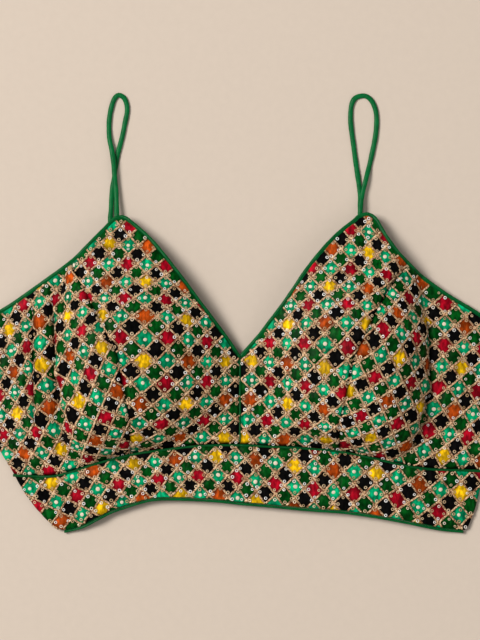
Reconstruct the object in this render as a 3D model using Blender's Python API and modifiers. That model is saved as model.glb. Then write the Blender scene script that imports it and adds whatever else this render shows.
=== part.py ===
"""Spaghetti-strap blouse, laid flat on its back on a table, with its front up.

Metres, +Z up. X runs across the blouse and Y from the hem towards the straps. The draft below is
drawn from the point where the centre front seam meets the band seam; an empty then moves the
whole blouse so that the middle of its box stands on the origin. Left and right are as seen from
above. Each cloth piece is a wall; the padded cups stand up from the flat back over empty hollows.
"""

import math
from collections import namedtuple

import bmesh
import bpy
import numpy as np

LEFT, RIGHT = -1, 1
SIDES = {LEFT: "left", RIGHT: "right"}

# Middle of the blouse's box in the draft, which becomes the origin
BOX_MIDDLE = (0.0002, 0.1111)

# Cloth, piping and the gaps between pieces
FRONT_THICKNESS = 0.0022
BACK_THICKNESS = 0.0018
SEAM_GAP = 0.0003
PIPING_RADIUS = 0.0011
BACK_PIPING_RADIUS = 0.0009
PIPING_LIFT = 0.0004
BAND_PIPING_SHIFT = 0.0014
EDGE_INSET = 2 * PIPING_RADIUS + SEAM_GAP

# The front's top where it lies on the back, and its rise away from the side edges
REST_TOP = BACK_THICKNESS + SEAM_GAP + FRONT_THICKNESS
PUFF_HEIGHT = 0.0048
PUFF_WIDTH = 0.060
SEAM_DIP = 0.0008
SEAM_DIP_WIDTH = 0.003
SEAM_DIP_FADE = 0.030

# Outlines in the draft. "out" is the distance from the centre front, outward on either side.
Point = namedtuple("Point", "out y")
Rows = namedtuple("Rows", "y left right")
Seam = namedtuple("Seam", "x y")

NECK = {
    LEFT: [
        Point(0.0000, 0.0757), Point(0.0093, 0.0895), Point(0.0170, 0.1000), Point(0.0357, 0.1250),
        Point(0.0544, 0.1500), Point(0.0748, 0.1745), Point(0.0932, 0.1907),
    ],
    RIGHT: [
        Point(0.0000, 0.0757), Point(0.0122, 0.0895), Point(0.0206, 0.1000), Point(0.0391, 0.1250),
        Point(0.0561, 0.1500), Point(0.0773, 0.1750), Point(0.0969, 0.1913),
    ],
}
PEAK = {
    LEFT: [
        Point(0.0932, 0.1907), Point(0.0962, 0.1927), Point(0.1010, 0.1938), Point(0.1067, 0.1921),
        Point(0.1094, 0.1896), Point(0.1122, 0.1868),
    ],
    RIGHT: [
        Point(0.0969, 0.1913), Point(0.0998, 0.1940), Point(0.1072, 0.1961), Point(0.1126, 0.1945),
        Point(0.1170, 0.1901), Point(0.1202, 0.1842),
    ],
}
ARMHOLE = {
    LEFT: [
        Point(0.1122, 0.1868), Point(0.1250, 0.1738), Point(0.1400, 0.1585), Point(0.1440, 0.1553),
        Point(0.1550, 0.1472), Point(0.1750, 0.1330), Point(0.1950, 0.1190), Point(0.2130, 0.1086),
    ],
    RIGHT: [
        Point(0.1202, 0.1842), Point(0.1258, 0.1750), Point(0.1354, 0.1622), Point(0.1440, 0.1534),
        Point(0.1550, 0.1430), Point(0.1750, 0.1286), Point(0.1950, 0.1165), Point(0.2140, 0.1048),
    ],
}
SIDE_EDGE = [
    Rows(0.1067, 0.2130, 0.2140), Rows(0.0850, 0.2155, 0.2165), Rows(0.0550, 0.2165, 0.2168),
    Rows(0.0250, 0.2135, 0.2150), Rows(0.0000, 0.2065, 0.2115), Rows(-0.0240, 0.1925, 0.2070),
    Rows(-0.0400, 0.1838, 0.2032), Rows(-0.0550, 0.1726, 0.1995), Rows(-0.0680, 0.1605, 0.1945),
    Rows(-0.0760, 0.1490, 0.1895),
]
PRINCESS = [
    Rows(-0.0040, 0.0935, 0.0842), Rows(0.0150, 0.0927, 0.0842), Rows(0.0350, 0.0952, 0.0880),
    Rows(0.0550, 0.0995, 0.0917), Rows(0.0750, 0.1030, 0.0965), Rows(0.0950, 0.1120, 0.1062),
    Rows(0.1150, 0.1235, 0.1158), Rows(0.1350, 0.1330, 0.1268), Rows(0.1540, 0.1440, 0.1440),
]
BAND_SEAM = [
    Seam(-0.1925, -0.0255), Seam(-0.1760, -0.0263), Seam(-0.1600, -0.0265), Seam(-0.1450, -0.0231),
    Seam(-0.1190, -0.0147), Seam(-0.0910, -0.0077), Seam(-0.0630, -0.0037), Seam(-0.0350, -0.0006),
    Seam(0.0000, 0.0000), Seam(0.0280, -0.0013), Seam(0.0560, -0.0027), Seam(0.0850, -0.0055),
    Seam(0.1130, -0.0111), Seam(0.1410, -0.0174), Seam(0.1620, -0.0203), Seam(0.1830, -0.0212),
    Seam(0.2072, -0.0219),
]
HEM = [
    Seam(-0.1490, -0.0760), Seam(-0.1335, -0.0720), Seam(-0.1190, -0.0645), Seam(-0.1050, -0.0579),
    Seam(-0.0770, -0.0494), Seam(-0.0560, -0.0482), Seam(-0.0210, -0.0497), Seam(0.0000, -0.0520),
    Seam(0.0280, -0.0544), Seam(0.0560, -0.0572), Seam(0.0850, -0.0592), Seam(0.1130, -0.0629),
    Seam(0.1410, -0.0680), Seam(0.1690, -0.0738), Seam(0.1895, -0.0760),
]

# The padded cups: the apex, and how far the dome reaches from it each way
Cup = namedtuple("Cup", "apex_out apex_y outward inward up")
CUPS = {
    LEFT: Cup(0.104, 0.058, 0.050, 0.104, 0.150),
    RIGHT: Cup(0.102, 0.060, 0.055, 0.100, 0.150),
}
CUP_HEIGHT = 0.033
CUP_FOOT_GAP = 0.002
CUP_SQUARENESS_STEEP = 3.2
CUP_SQUARENESS_GENTLE = 2.4
CUP_STEEP = 0.80
CUP_GENTLE = 1.55

# The line along the outer foot of each cup, which a column of the side panel follows
CUP_FOOT = [
    Rows(-0.0230, 0.1440, 0.1480), Rows(0.0200, 0.1515, 0.1550), Rows(0.0600, 0.1545, 0.1575),
    Rows(0.1000, 0.1545, 0.1570), Rows(0.1400, 0.1545, 0.1560),
]

# The long fold that stands up beside the left cup
FOLD_TOP = (-0.163, 0.104)
FOLD_FOOT = (-0.160, 0.010)
FOLD_HEIGHT = 0.005
FOLD_WIDTH_OUTWARD = 0.008
FOLD_WIDTH_INWARD = 0.012

# The back: a low straight-cut panel and its band, lapped at the centre back
BACK_TOP = [
    Point(0.000, 0.066), Point(0.060, 0.072), Point(0.125, 0.082), Point(0.170, 0.092),
    Point(0.2115, 0.1055),
]
BACK_SIDE_INSET = 0.0005
BACK_HEM_RAISE = 0.002
LAP_HALF = 0.0075
LAP_LIFT = 0.0036
LAP_STEP_START = 0.022
LAP_STEP_END = 0.010

# Hooks and bars that close the lap
HOOK_WIRE = 0.0003
HOOK_YS = (-0.038, 0.006, 0.050)
HOOK_HALF_LENGTH = 0.0045
HOOK_HALF_WIDTH = 0.0014
BAR_HALF_LENGTH = 0.0028
HOOK_LEVEL = 0.0032
BAR_LEVEL = 0.0023

# Straps: a flattened cloth rouleau, and the levels that it lies at
STRAP_HALF_WIDTH = 0.00215
STRAP_HALF_THICKNESS = 0.0013
STRAP_STEPS = 72
LOW = STRAP_HALF_THICKNESS
CROSSING = 0.0045
ON_BACK = BACK_THICKNESS + SEAM_GAP + STRAP_HALF_THICKNESS + 0.0001
Stop = namedtuple("Stop", "x y z")
STRAP_ROUTES = {
    LEFT: [
        Stop(-0.1040, 0.1850, 0.0080), Stop(-0.1045, 0.1960, 0.0072), Stop(-0.1048, 0.2076, 0.0055),
        Stop(-0.1053, 0.2168, CROSSING), Stop(-0.1065, 0.2279, CROSSING),
        Stop(-0.1074, 0.2394, CROSSING), Stop(-0.1088, 0.2491, 0.0040), Stop(-0.1107, 0.2582, 0.0025),
        Stop(-0.1113, 0.2675, LOW), Stop(-0.1109, 0.2767, LOW), Stop(-0.1092, 0.2859, LOW),
        Stop(-0.1065, 0.2933, LOW), Stop(-0.1029, 0.2961, LOW), Stop(-0.0987, 0.2938, LOW),
        Stop(-0.0964, 0.2887, LOW), Stop(-0.0959, 0.2822, LOW), Stop(-0.0978, 0.2721, LOW),
        Stop(-0.0996, 0.2629, LOW), Stop(-0.1019, 0.2536, LOW), Stop(-0.1042, 0.2445, LOW),
        Stop(-0.1056, 0.2352, LOW), Stop(-0.1069, 0.2260, LOW), Stop(-0.1084, 0.2168, LOW),
        Stop(-0.1091, 0.2076, LOW), Stop(-0.1096, 0.1983, LOW), Stop(-0.1102, 0.1901, LOW),
        Stop(-0.1105, 0.1700, LOW), Stop(-0.1110, 0.1400, LOW), Stop(-0.1120, 0.1100, LOW),
        Stop(-0.1130, 0.0880, ON_BACK), Stop(-0.1130, 0.0720, ON_BACK),
    ],
    RIGHT: [
        Stop(0.1015, 0.1860, 0.0080), Stop(0.1019, 0.1968, 0.0072), Stop(0.1028, 0.2062, 0.0058),
        Stop(0.1041, 0.2127, CROSSING), Stop(0.1069, 0.2244, 0.0040), Stop(0.1099, 0.2361, LOW),
        Stop(0.1125, 0.2479, LOW), Stop(0.1148, 0.2595, LOW), Stop(0.1160, 0.2712, LOW),
        Stop(0.1155, 0.2817, LOW), Stop(0.1125, 0.2901, LOW), Stop(0.1080, 0.2947, LOW),
        Stop(0.1034, 0.2955, LOW), Stop(0.0976, 0.2933, LOW), Stop(0.0946, 0.2869, LOW),
        Stop(0.0939, 0.2764, LOW), Stop(0.0947, 0.2661, LOW), Stop(0.0963, 0.2543, LOW),
        Stop(0.0978, 0.2426, LOW), Stop(0.0995, 0.2309, LOW), Stop(0.1012, 0.2192, LOW),
        Stop(0.1022, 0.2101, LOW), Stop(0.1022, 0.1959, LOW), Stop(0.1040, 0.1500, LOW),
        Stop(0.1080, 0.1100, LOW), Stop(0.1100, 0.0880, ON_BACK), Stop(0.1100, 0.0720, ON_BACK),
    ],
}

# Steps of the smooth curves, and grid sizes of the cloth walls
CURVE_STEPS = 8
LINE_STEPS = 40
CENTRE_COLUMNS = 13
CUP_COLUMNS = 7
SIDE_COLUMNS = 7
CENTRE_SEAM_ROWS = 8
NECK_ROWS = 16
PRINCESS_ROWS = 19
ARM_ROWS = CENTRE_SEAM_ROWS + NECK_ROWS - PRINCESS_ROWS
BAND_ROWS = 5
BACK_COLUMNS = 8
LAP_STEP_COLUMNS = 3
LAP_COLUMNS = 2
BACK_ROWS = 6
BACK_BAND_ROWS = 3
NECK_PIPING_SPANS = 16
PEAK_PIPING_SPANS = 12
ARM_PIPING_SPANS = 20
CORNER_PIPING_SPANS = 4
SEAM_PIPING_SPANS = 52
STRAP_SIDES = 8
HOOK_BEND_STEPS = 6

# The armhole's binding ends at the side seam, where the back's own piping steps out past it
SIDE_PIPING_START = 0.1935
SIDE_PIPING_STEP = 0.0010
STEP_CLEARANCE = 0.0009
V_CLEARANCE = 0.0014

# Colours from the photograph, with roughness
Finish = namedtuple("Finish", "colour roughness metallic")
FINISHES = {
    "brocade": Finish((0.02, 0.22, 0.08), 0.55, 0.0),
    "brocade_band": Finish((0.30, 0.17, 0.08), 0.55, 0.0),
    "brocade_back": Finish((0.03, 0.16, 0.07), 0.60, 0.0),
    "green_satin": Finish((0.01, 0.16, 0.05), 0.40, 0.0),
    "wire": Finish((0.55, 0.55, 0.56), 0.30, 1.0),
}


def catmull_rom(points):
    """A smooth curve through the points, with the same number of steps in each span."""
    p = np.asarray(points, float)
    p = np.vstack([2 * p[0] - p[1], p, 2 * p[-1] - p[-2]])
    curve = []
    for a, b, c, d in zip(p, p[1:], p[2:], p[3:]):
        for t in np.arange(CURVE_STEPS) / CURVE_STEPS:
            curve.append(0.5 * (2 * b + (c - a) * t + (2 * a - 5 * b + 4 * c - d) * t**2
                                + (3 * b - a - 3 * c + d) * t**3))
    curve.append(p[-2])
    return np.array(curve)


def resample(curve, count):
    """The curve again, in a number of spans of equal length."""
    length = np.concatenate([[0], np.cumsum(np.linalg.norm(np.diff(curve, axis=0), axis=1))])
    at = np.linspace(0, length[-1], count + 1)
    return np.stack([np.interp(at, length, column) for column in curve.T], axis=1)


def chain(*stretches):
    """Joins (curve, spans) stretches end to end, so that each joint falls on a vertex."""
    points = [resample(curve, count) for curve, count in stretches]
    return np.vstack([points[0]] + [p[1:] for p in points[1:]])


def offset(curve, distance):
    """The plan curve moved sideways, to the left of its direction where distance is positive."""
    run = np.gradient(curve[:, :2], axis=0)
    run /= np.linalg.norm(run, axis=1, keepdims=True)
    moved = curve.copy()
    moved[:, 0] -= run[:, 1] * distance
    moved[:, 1] += run[:, 0] * distance
    return moved


def smoothstep(t):
    t = np.clip(t, 0, 1)
    return t * t * (3 - 2 * t)


# Plan curves
def plan(table, side):
    return catmull_rom([(side * p.out, p.y) for p in table[side]])


def rows_curve(table, side):
    """A curve from a table of rows, from the lowest y up."""
    rows = sorted(table)
    return catmull_rom([(side * (r.left if side == LEFT else r.right), r.y) for r in rows])


SEAM_CURVE = catmull_rom(BAND_SEAM)
HEM_CURVE = catmull_rom(HEM)
SIDE_CURVES = {side: rows_curve(SIDE_EDGE, side) for side in SIDES}
PRINCESS_CURVES = {side: rows_curve(PRINCESS, side) for side in SIDES}


def seam_y(x):
    return float(np.interp(x, SEAM_CURVE[:, 0], SEAM_CURVE[:, 1]))


def side_x(side, y):
    """Distance of the side edge from the centre front, at the height y."""
    curve = SIDE_CURVES[side]
    return float(np.interp(y, curve[:, 1], np.abs(curve[:, 0])))


def princess_x(side, y):
    curve = PRINCESS_CURVES[side]
    return float(np.interp(y, curve[:, 1], curve[:, 0]))


def cloth_edge(table, side):
    """The front's cloth edge, inside the piping on that free edge."""
    return offset(plan(table, side), side * -EDGE_INSET)


# The front's height
def cup_rise(x, y):
    side = LEFT if x < 0 else RIGHT
    cup = CUPS[side]
    outward = side * x > cup.apex_out
    up = y > cup.apex_y
    reach_x = cup.outward if outward else cup.inward
    reach_y = cup.up if up else cup.apex_y - seam_y(x) - CUP_FOOT_GAP
    across = abs((side * x - cup.apex_out) / reach_x)
    across **= CUP_SQUARENESS_STEEP if outward else CUP_SQUARENESS_GENTLE
    along = abs((y - cup.apex_y) / reach_y)
    along **= CUP_SQUARENESS_GENTLE if up else CUP_SQUARENESS_STEEP
    if across + along >= 1:
        return 0.0
    gentle = (0 if outward else across) + (along if up else 0)
    share = gentle / max(across + along, 1e-9)
    power = CUP_STEEP + (CUP_GENTLE - CUP_STEEP) * share
    return CUP_HEIGHT * (1 - across - along) ** power


def fold_rise(x, y):
    foot, top = np.array(FOLD_FOOT), np.array(FOLD_TOP)
    run = top - foot
    t = float(np.clip(np.dot((x, y) - foot, run) / np.dot(run, run), 0, 1))
    across = x - (foot + t * run)[0]
    beyond = y - (foot + t * run)[1]
    width = FOLD_WIDTH_OUTWARD if across < 0 else FOLD_WIDTH_INWARD
    return FOLD_HEIGHT * math.exp(-(across / width) ** 2 - (beyond / FOLD_WIDTH_INWARD) ** 2)


def seam_dip(x, y):
    """How far the cloth is drawn down into the nearest seam."""
    side = LEFT if x < 0 else RIGHT
    near = [abs(y - seam_y(x))]
    if y > seam_y(x) - SEAM_DIP_WIDTH:
        near.append(abs(x - princess_x(side, y)))
        near.append(abs(x))
    clear_of_side = float(smoothstep((side_x(side, y) - abs(x)) / SEAM_DIP_FADE))
    return SEAM_DIP * clear_of_side * math.exp(-(min(near) / SEAM_DIP_WIDTH) ** 2)


def front_top(x, y):
    """Height of the front's outer face over the table."""
    side = LEFT if x < 0 else RIGHT
    from_side = side_x(side, y) - abs(x)
    puff = PUFF_HEIGHT * float(smoothstep(from_side / PUFF_WIDTH))
    return REST_TOP + puff + cup_rise(x, y) + fold_rise(x, y) - seam_dip(x, y)


def lap_lift(x):
    """The left half of the back climbs over the right half's edge at the lap."""
    return LAP_LIFT * float(smoothstep((x + LAP_STEP_START) / (LAP_STEP_START - LAP_STEP_END)))


def left_back_top(x, y):
    return BACK_THICKNESS + lap_lift(x)


def right_back_top(x, y):
    return BACK_THICKNESS


# Objects
COLLECTION = bpy.data.collections.new("spaghetti_strap_blouse")


def finish(name):
    """The material of that name, made once."""
    if name in bpy.data.materials:
        return bpy.data.materials[name]
    look = FINISHES[name]
    material = bpy.data.materials.new(name)
    material.use_nodes = True
    shader = material.node_tree.nodes["Principled BSDF"]
    shader.inputs["Base Color"].default_value = (*look.colour, 1)
    shader.inputs["Roughness"].default_value = look.roughness
    shader.inputs["Metallic"].default_value = look.metallic
    return material


def add(name, data, material, frame):
    piece = bpy.data.objects.new(name, data)
    data.materials.append(finish(material))
    COLLECTION.objects.link(piece)
    piece.parent = frame
    return piece


def inward_normals(line, inside):
    run = np.gradient(line, axis=0)
    run /= np.linalg.norm(run, axis=1, keepdims=True)
    normal = np.stack([-run[:, 1], run[:, 0]], axis=1)
    towards = inside - line
    facing = np.sign((normal * towards).sum(axis=1, keepdims=True))
    return normal * np.where(facing == 0, 1, facing)


def coons(bottom, top, left, right):
    """Plan points of a patch between four lines."""
    s = np.linspace(0, 1, len(bottom))[:, None, None]
    t = np.linspace(0, 1, len(left))[None, :, None]
    ends = ((1 - s) * (1 - t) * bottom[0] + s * (1 - t) * bottom[-1]
            + (1 - s) * t * top[0] + s * t * top[-1])
    return (1 - t) * bottom[:, None] + t * top[:, None] + (1 - s) * left[None] + s * right[None] - ends


def drawn_in(net, insets):
    """The patch with its bottom, top, left and right lines moved inward by their insets."""
    lines = ((np.s_[:, 0], np.s_[:, 1]), (np.s_[:, -1], np.s_[:, -2]),
             (np.s_[0, :], np.s_[1, :]), (np.s_[-1, :], np.s_[-2, :]))
    moves = np.zeros_like(net)
    for (edge, inner), inset in zip(lines, insets):
        moves[edge] += inward_normals(net[edge], net[inner]) * inset
    return net + moves


def cloth(name, net, insets, height, thickness, material, frame):
    """A cloth wall on a grid whose vertices are mapped onto the patch and raised to the height."""
    net = drawn_in(net, insets)
    columns, rows = net.shape[0] - 1, net.shape[1] - 1
    grid = bmesh.new()
    bmesh.ops.create_grid(grid, x_segments=columns, y_segments=rows, size=1)
    for vertex in grid.verts:
        i = round((vertex.co.x + 1) / 2 * columns)
        j = round((vertex.co.y + 1) / 2 * rows)
        x, y = net[i, j]
        vertex.co = (x, y, height(x, y))
    bmesh.ops.recalc_face_normals(grid, faces=grid.faces)
    if sum(face.normal.z for face in grid.faces) < 0:
        bmesh.ops.reverse_faces(grid, faces=grid.faces)
    mesh = bpy.data.meshes.new(name)
    grid.to_mesh(mesh)
    grid.free()
    mesh.shade_smooth()
    piece = add(name, mesh, material, frame)
    wall = piece.modifiers.new("wall", "SOLIDIFY")
    wall.thickness = thickness
    wall.offset = -1
    wall.use_even_offset = False
    return piece


def tube(name, points, radius, material, frame, section=None):
    """A cord of cloth or wire along the points, with closed ends."""
    curve = bpy.data.curves.new(name, "CURVE")
    curve.dimensions = "3D"
    curve.twist_mode = "Z_UP"
    spline = curve.splines.new("POLY")
    spline.points.add(len(points) - 1)
    for place, point in zip(spline.points, points):
        place.co = (*point, 1)
    spline.use_smooth = True
    curve.use_fill_caps = True
    if section:
        curve.bevel_mode = "OBJECT"
        curve.bevel_object = section
    else:
        curve.bevel_depth = radius
        curve.bevel_resolution = 1
    return add(name, curve, material, frame)


# Cloth of the front
def centre_line(side):
    """The centre front seam, from the band seam up to the cloth's own V."""
    neck = cloth_edge(NECK, side)
    run = neck[1] - neck[0]
    top_y = neck[0][1] - neck[0][0] * run[1] / run[0]
    return np.array([(0.0, 0.0), (0.0, top_y)])


def neck_line(side):
    neck = cloth_edge(NECK, side)
    return np.vstack([centre_line(side)[-1], neck[1:]])


def arm_lines(side):
    """The armhole's cloth edge, as the stretch over the centre panel and the one over the side."""
    edge = cloth_edge(ARMHOLE, side)
    run = edge[-1] - edge[-2]
    short = side_x(side, edge[-1][1]) - abs(edge[-1][0])
    corner = edge[-1] + run * short / abs(run[0])
    corner[0] = side * side_x(side, corner[1])
    return split_at(np.vstack([edge, corner]), PRINCESS_CURVES[side][-1][0])


def princess_line(side):
    """The princess seam from the band seam up to the armhole's cloth edge."""
    curve = PRINCESS_CURVES[side]
    over, _ = arm_lines(side)
    inside = curve[curve[:, 1] < over[-1][1] - EDGE_INSET]
    foot = np.array([inside[0][0], seam_y(inside[0][0])])
    return np.vstack([foot, inside[1:], over[-1]])


def split_at(line, x):
    """The line in two stretches, parted at the point nearest to x."""
    split = int(np.argmin(np.abs(line[:, 0] - x)))
    return line[:split + 1], line[split:]


def cup_foot_line(side):
    """The outer foot of the cup, from the band seam up to the armhole's cloth edge."""
    curve = rows_curve(CUP_FOOT, side)
    _, beside = arm_lines(side)
    _, to_side = split_at(beside, curve[-1][0])
    foot = np.array([curve[0][0], seam_y(curve[0][0])])
    return np.vstack([foot, curve[1:], to_side[0]])


def seam_stretch(x_from, x_to):
    xs = np.linspace(x_from, x_to, LINE_STEPS)
    return np.array([(x, seam_y(x)) for x in xs])


def side_line(side, y_from, y_to, inset=0.0):
    ys = np.linspace(y_from, y_to, LINE_STEPS)
    return np.array([(side * (side_x(side, y) - inset), y) for y in ys])


def build_front(frame):
    half = SEAM_GAP / 2
    for side, label in SIDES.items():
        over, beside = arm_lines(side)
        princess = princess_line(side)
        foot_x = princess[0][0]
        inner = chain((centre_line(side), CENTRE_SEAM_ROWS), (neck_line(side), NECK_ROWS))
        outer = chain((princess, PRINCESS_ROWS), (over[::-1], ARM_ROWS))
        bottom = resample(seam_stretch(0.0, foot_x), CENTRE_COLUMNS)
        top = resample(cloth_edge(PEAK, side), CENTRE_COLUMNS)
        top[0], top[-1] = inner[-1], outer[-1]
        cloth("front_centre_" + label, coons(bottom, top, inner, outer), (half, 0, half, half),
              front_top, FRONT_THICKNESS, "brocade", frame)

        seam_end = BAND_SEAM[0] if side == LEFT else BAND_SEAM[-1]
        cup_foot = cup_foot_line(side)
        to_foot, to_side = split_at(beside, cup_foot[-1][0])
        on_cup = coons(
            resample(seam_stretch(foot_x, cup_foot[0][0]), CUP_COLUMNS),
            resample(to_foot, CUP_COLUMNS),
            resample(princess, PRINCESS_ROWS),
            resample(cup_foot, PRINCESS_ROWS),
        )
        beside_cup = coons(
            resample(seam_stretch(cup_foot[0][0], seam_end.x), SIDE_COLUMNS),
            resample(to_side, SIDE_COLUMNS),
            resample(cup_foot, PRINCESS_ROWS),
            resample(side_line(side, seam_end.y, beside[-1][1]), PRINCESS_ROWS),
        )
        cloth("front_side_" + label, np.vstack([on_cup, beside_cup[1:]]), (half, half, half, 0),
              front_top, FRONT_THICKNESS, "brocade", frame)


def build_band(frame):
    marks = [(BAND_SEAM[0].x, 0)]
    for side, columns in ((LEFT, (SIDE_COLUMNS, CUP_COLUMNS)), (RIGHT, (CENTRE_COLUMNS, CUP_COLUMNS))):
        feet = sorted((cup_foot_line(side)[0][0], princess_line(side)[0][0]))
        marks += zip(feet, columns)
        marks.append((0.0, CENTRE_COLUMNS) if side == LEFT else (BAND_SEAM[-1].x, SIDE_COLUMNS))
    top = chain(*(
        (seam_stretch(here[0], after[0]), after[1]) for here, after in zip(marks, marks[1:])
    ))
    bottom = resample(offset(HEM_CURVE, EDGE_INSET), len(top) - 1)
    left = resample(side_line(LEFT, bottom[0][1], BAND_SEAM[0].y), BAND_ROWS)
    right = resample(side_line(RIGHT, bottom[-1][1], BAND_SEAM[-1].y), BAND_ROWS)
    left[0], left[-1] = bottom[0], top[0]
    right[0], right[-1] = bottom[-1], top[-1]
    cloth("front_band", coons(bottom, top, left, right), (0, SEAM_GAP / 2, 0, 0), front_top,
          FRONT_THICKNESS, "brocade_band", frame)


# Cloth of the back
BACK_TOP_CURVE = catmull_rom(BACK_TOP)
BACK_PIPING_ROOM = BACK_PIPING_RADIUS + SEAM_GAP
BACK_HEM_CURVE = offset(HEM_CURVE, BACK_HEM_RAISE + BACK_PIPING_RADIUS + BACK_PIPING_ROOM)


def back_top_y(x):
    return float(np.interp(abs(x), BACK_TOP_CURVE[:, 0], BACK_TOP_CURVE[:, 1]))


def back_hem_y(x):
    return float(np.interp(x, BACK_HEM_CURVE[:, 0], BACK_HEM_CURVE[:, 1]))


def across_back(side, curve_y, outer_x, lap_edge):
    """Points along a line of the back from the side edge to the lap edge, closer at the lap."""
    if side == LEFT:
        xs = np.concatenate([
            np.linspace(outer_x, -LAP_STEP_START, BACK_COLUMNS + 1),
            np.linspace(-LAP_STEP_START, -LAP_STEP_END, LAP_STEP_COLUMNS + 1)[1:],
            np.linspace(-LAP_STEP_END, lap_edge, LAP_COLUMNS + 1)[1:],
        ])
    else:
        xs = np.linspace(outer_x, lap_edge, BACK_COLUMNS + LAP_COLUMNS + 1)
    return np.array([(x, curve_y(x)) for x in xs])


def build_back(frame):
    for side, label in SIDES.items():
        height = left_back_top if side == LEFT else right_back_top
        lap_edge = -side * LAP_HALF
        seam_end = BAND_SEAM[0] if side == LEFT else BAND_SEAM[-1]
        seam_x = seam_end.x - side * BACK_SIDE_INSET
        corner_x = side * BACK_TOP[-1].out
        bottom = across_back(side, seam_y, seam_x, lap_edge)
        top = across_back(side, back_top_y, corner_x, lap_edge)
        outer = resample(side_line(side, bottom[0][1], top[0][1], BACK_SIDE_INSET), BACK_ROWS)
        outer[0], outer[-1] = bottom[0], top[0]
        inner = resample(np.array([bottom[-1], top[-1]]), BACK_ROWS)
        cloth("back_" + label, coons(bottom, top, outer, inner), (BACK_PIPING_ROOM, 0, 0, 0),
              height, BACK_THICKNESS, "brocade_back", frame)

        hem_x = BACK_HEM_CURVE[0][0] if side == LEFT else BACK_HEM_CURVE[-1][0]
        low = across_back(side, back_hem_y, hem_x - side * BACK_SIDE_INSET, lap_edge)
        outer = side_line(side, low[0][1], bottom[0][1], BACK_SIDE_INSET)
        outer = resample(outer, BACK_BAND_ROWS)
        outer[0], outer[-1] = low[0], bottom[0]
        inner = resample(np.array([low[-1], bottom[-1]]), BACK_BAND_ROWS)
        cloth("back_band_" + label, coons(low, bottom, outer, inner), (0, BACK_PIPING_ROOM, 0, 0),
              height, BACK_THICKNESS, "brocade_back", frame)

        upward = -side * BACK_PIPING_ROOM
        for name, line, shift in (
            ("piping_back_top_", top, upward),
            ("piping_band_back_", bottom, 0.0),
            ("piping_hem_back_", low, -upward),
        ):
            half = BACK_THICKNESS / 2
            route = [(x, y, height(x, y) - half) for x, y in offset(line, shift)]
            tube(name + label, route, BACK_PIPING_RADIUS, "green_satin", frame)


# Piping and binding of the front
def beside_edge(line, cloth_line):
    """Points of a piping beside a cloth edge, at the middle of the cloth's thickness."""
    half = FRONT_THICKNESS / 2
    return np.array([(x, y, front_top(*cloth) - half) for (x, y), cloth in zip(line, cloth_line)])


def between(route, low, high):
    """The stretch of a route whose distance from the centre front lies between two values."""
    out = np.abs(route[:, 0])
    ends = [[np.interp(x, out, column) for column in route.T] for x in (low, min(high, out[-1]))]
    return np.vstack([ends[0], route[(out > low) & (out < high - SEAM_GAP)], ends[1]])


def build_piping(frame):
    for side, label in SIDES.items():
        neck, peak, arm = (plan(table, side) for table in (NECK, PEAK, ARMHOLE))
        outline = chain((neck, NECK_PIPING_SPANS), (peak, PEAK_PIPING_SPANS), (arm, ARM_PIPING_SPANS))
        cloth_line = offset(outline, side * -EDGE_INSET)
        route = beside_edge(offset(outline, side * -PIPING_RADIUS), cloth_line)
        binding = between(route, V_CLEARANCE, SIDE_PIPING_START)
        tube("binding_" + label, binding, PIPING_RADIUS, "green_satin", frame)

        outline = resample(arm, LINE_STEPS)
        cloth_line = offset(outline, side * -EDGE_INSET)
        route = beside_edge(offset(outline, side * (SIDE_PIPING_STEP - PIPING_RADIUS)), cloth_line)
        corner = between(route, SIDE_PIPING_START + STEP_CLEARANCE, math.inf)
        corner = resample(corner, CORNER_PIPING_SPANS)
        tube("piping_side_" + label, corner, PIPING_RADIUS, "green_satin", frame)

    top_y = min(centre_line(side)[-1][1] for side in SIDES)
    above = PIPING_RADIUS + PIPING_LIFT
    ys = np.linspace(BAND_PIPING_SHIFT, top_y, CENTRE_SEAM_ROWS + 1)
    route = [(0.0, y, front_top(0.0, y) + above) for y in ys]
    tube("piping_centre", route, PIPING_RADIUS, "green_satin", frame)

    on_band = resample(offset(SEAM_CURVE, -BAND_PIPING_SHIFT), SEAM_PIPING_SPANS)
    route = [(x, y, front_top(x, y) + above) for x, y in on_band]
    tube("piping_band_front", route, PIPING_RADIUS, "green_satin", frame)

    hem = resample(HEM_CURVE, SEAM_PIPING_SPANS)
    route = beside_edge(offset(hem, PIPING_RADIUS), offset(hem, EDGE_INSET))
    tube("piping_hem_front", route, PIPING_RADIUS, "green_satin", frame)


def build_straps(frame):
    section = bpy.data.curves.new("strap_section", "CURVE")
    section.dimensions = "2D"
    ring = section.splines.new("POLY")
    ring.points.add(STRAP_SIDES - 1)
    for i, place in enumerate(ring.points):
        turn = -2 * math.pi * i / STRAP_SIDES
        place.co = (STRAP_HALF_WIDTH * math.cos(turn), STRAP_HALF_THICKNESS * math.sin(turn), 0, 1)
    ring.use_cyclic_u = True
    guide = bpy.data.objects.new("strap_section", section)
    guide.hide_render = True
    guide.display_type = "WIRE"
    COLLECTION.objects.link(guide)
    for side, label in SIDES.items():
        route = resample(catmull_rom(STRAP_ROUTES[side]), STRAP_STEPS)
        route[:, 2] = np.maximum(route[:, 2], LOW)
        tube("strap_" + label, route, 0, "green_satin", frame, guide)


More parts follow.
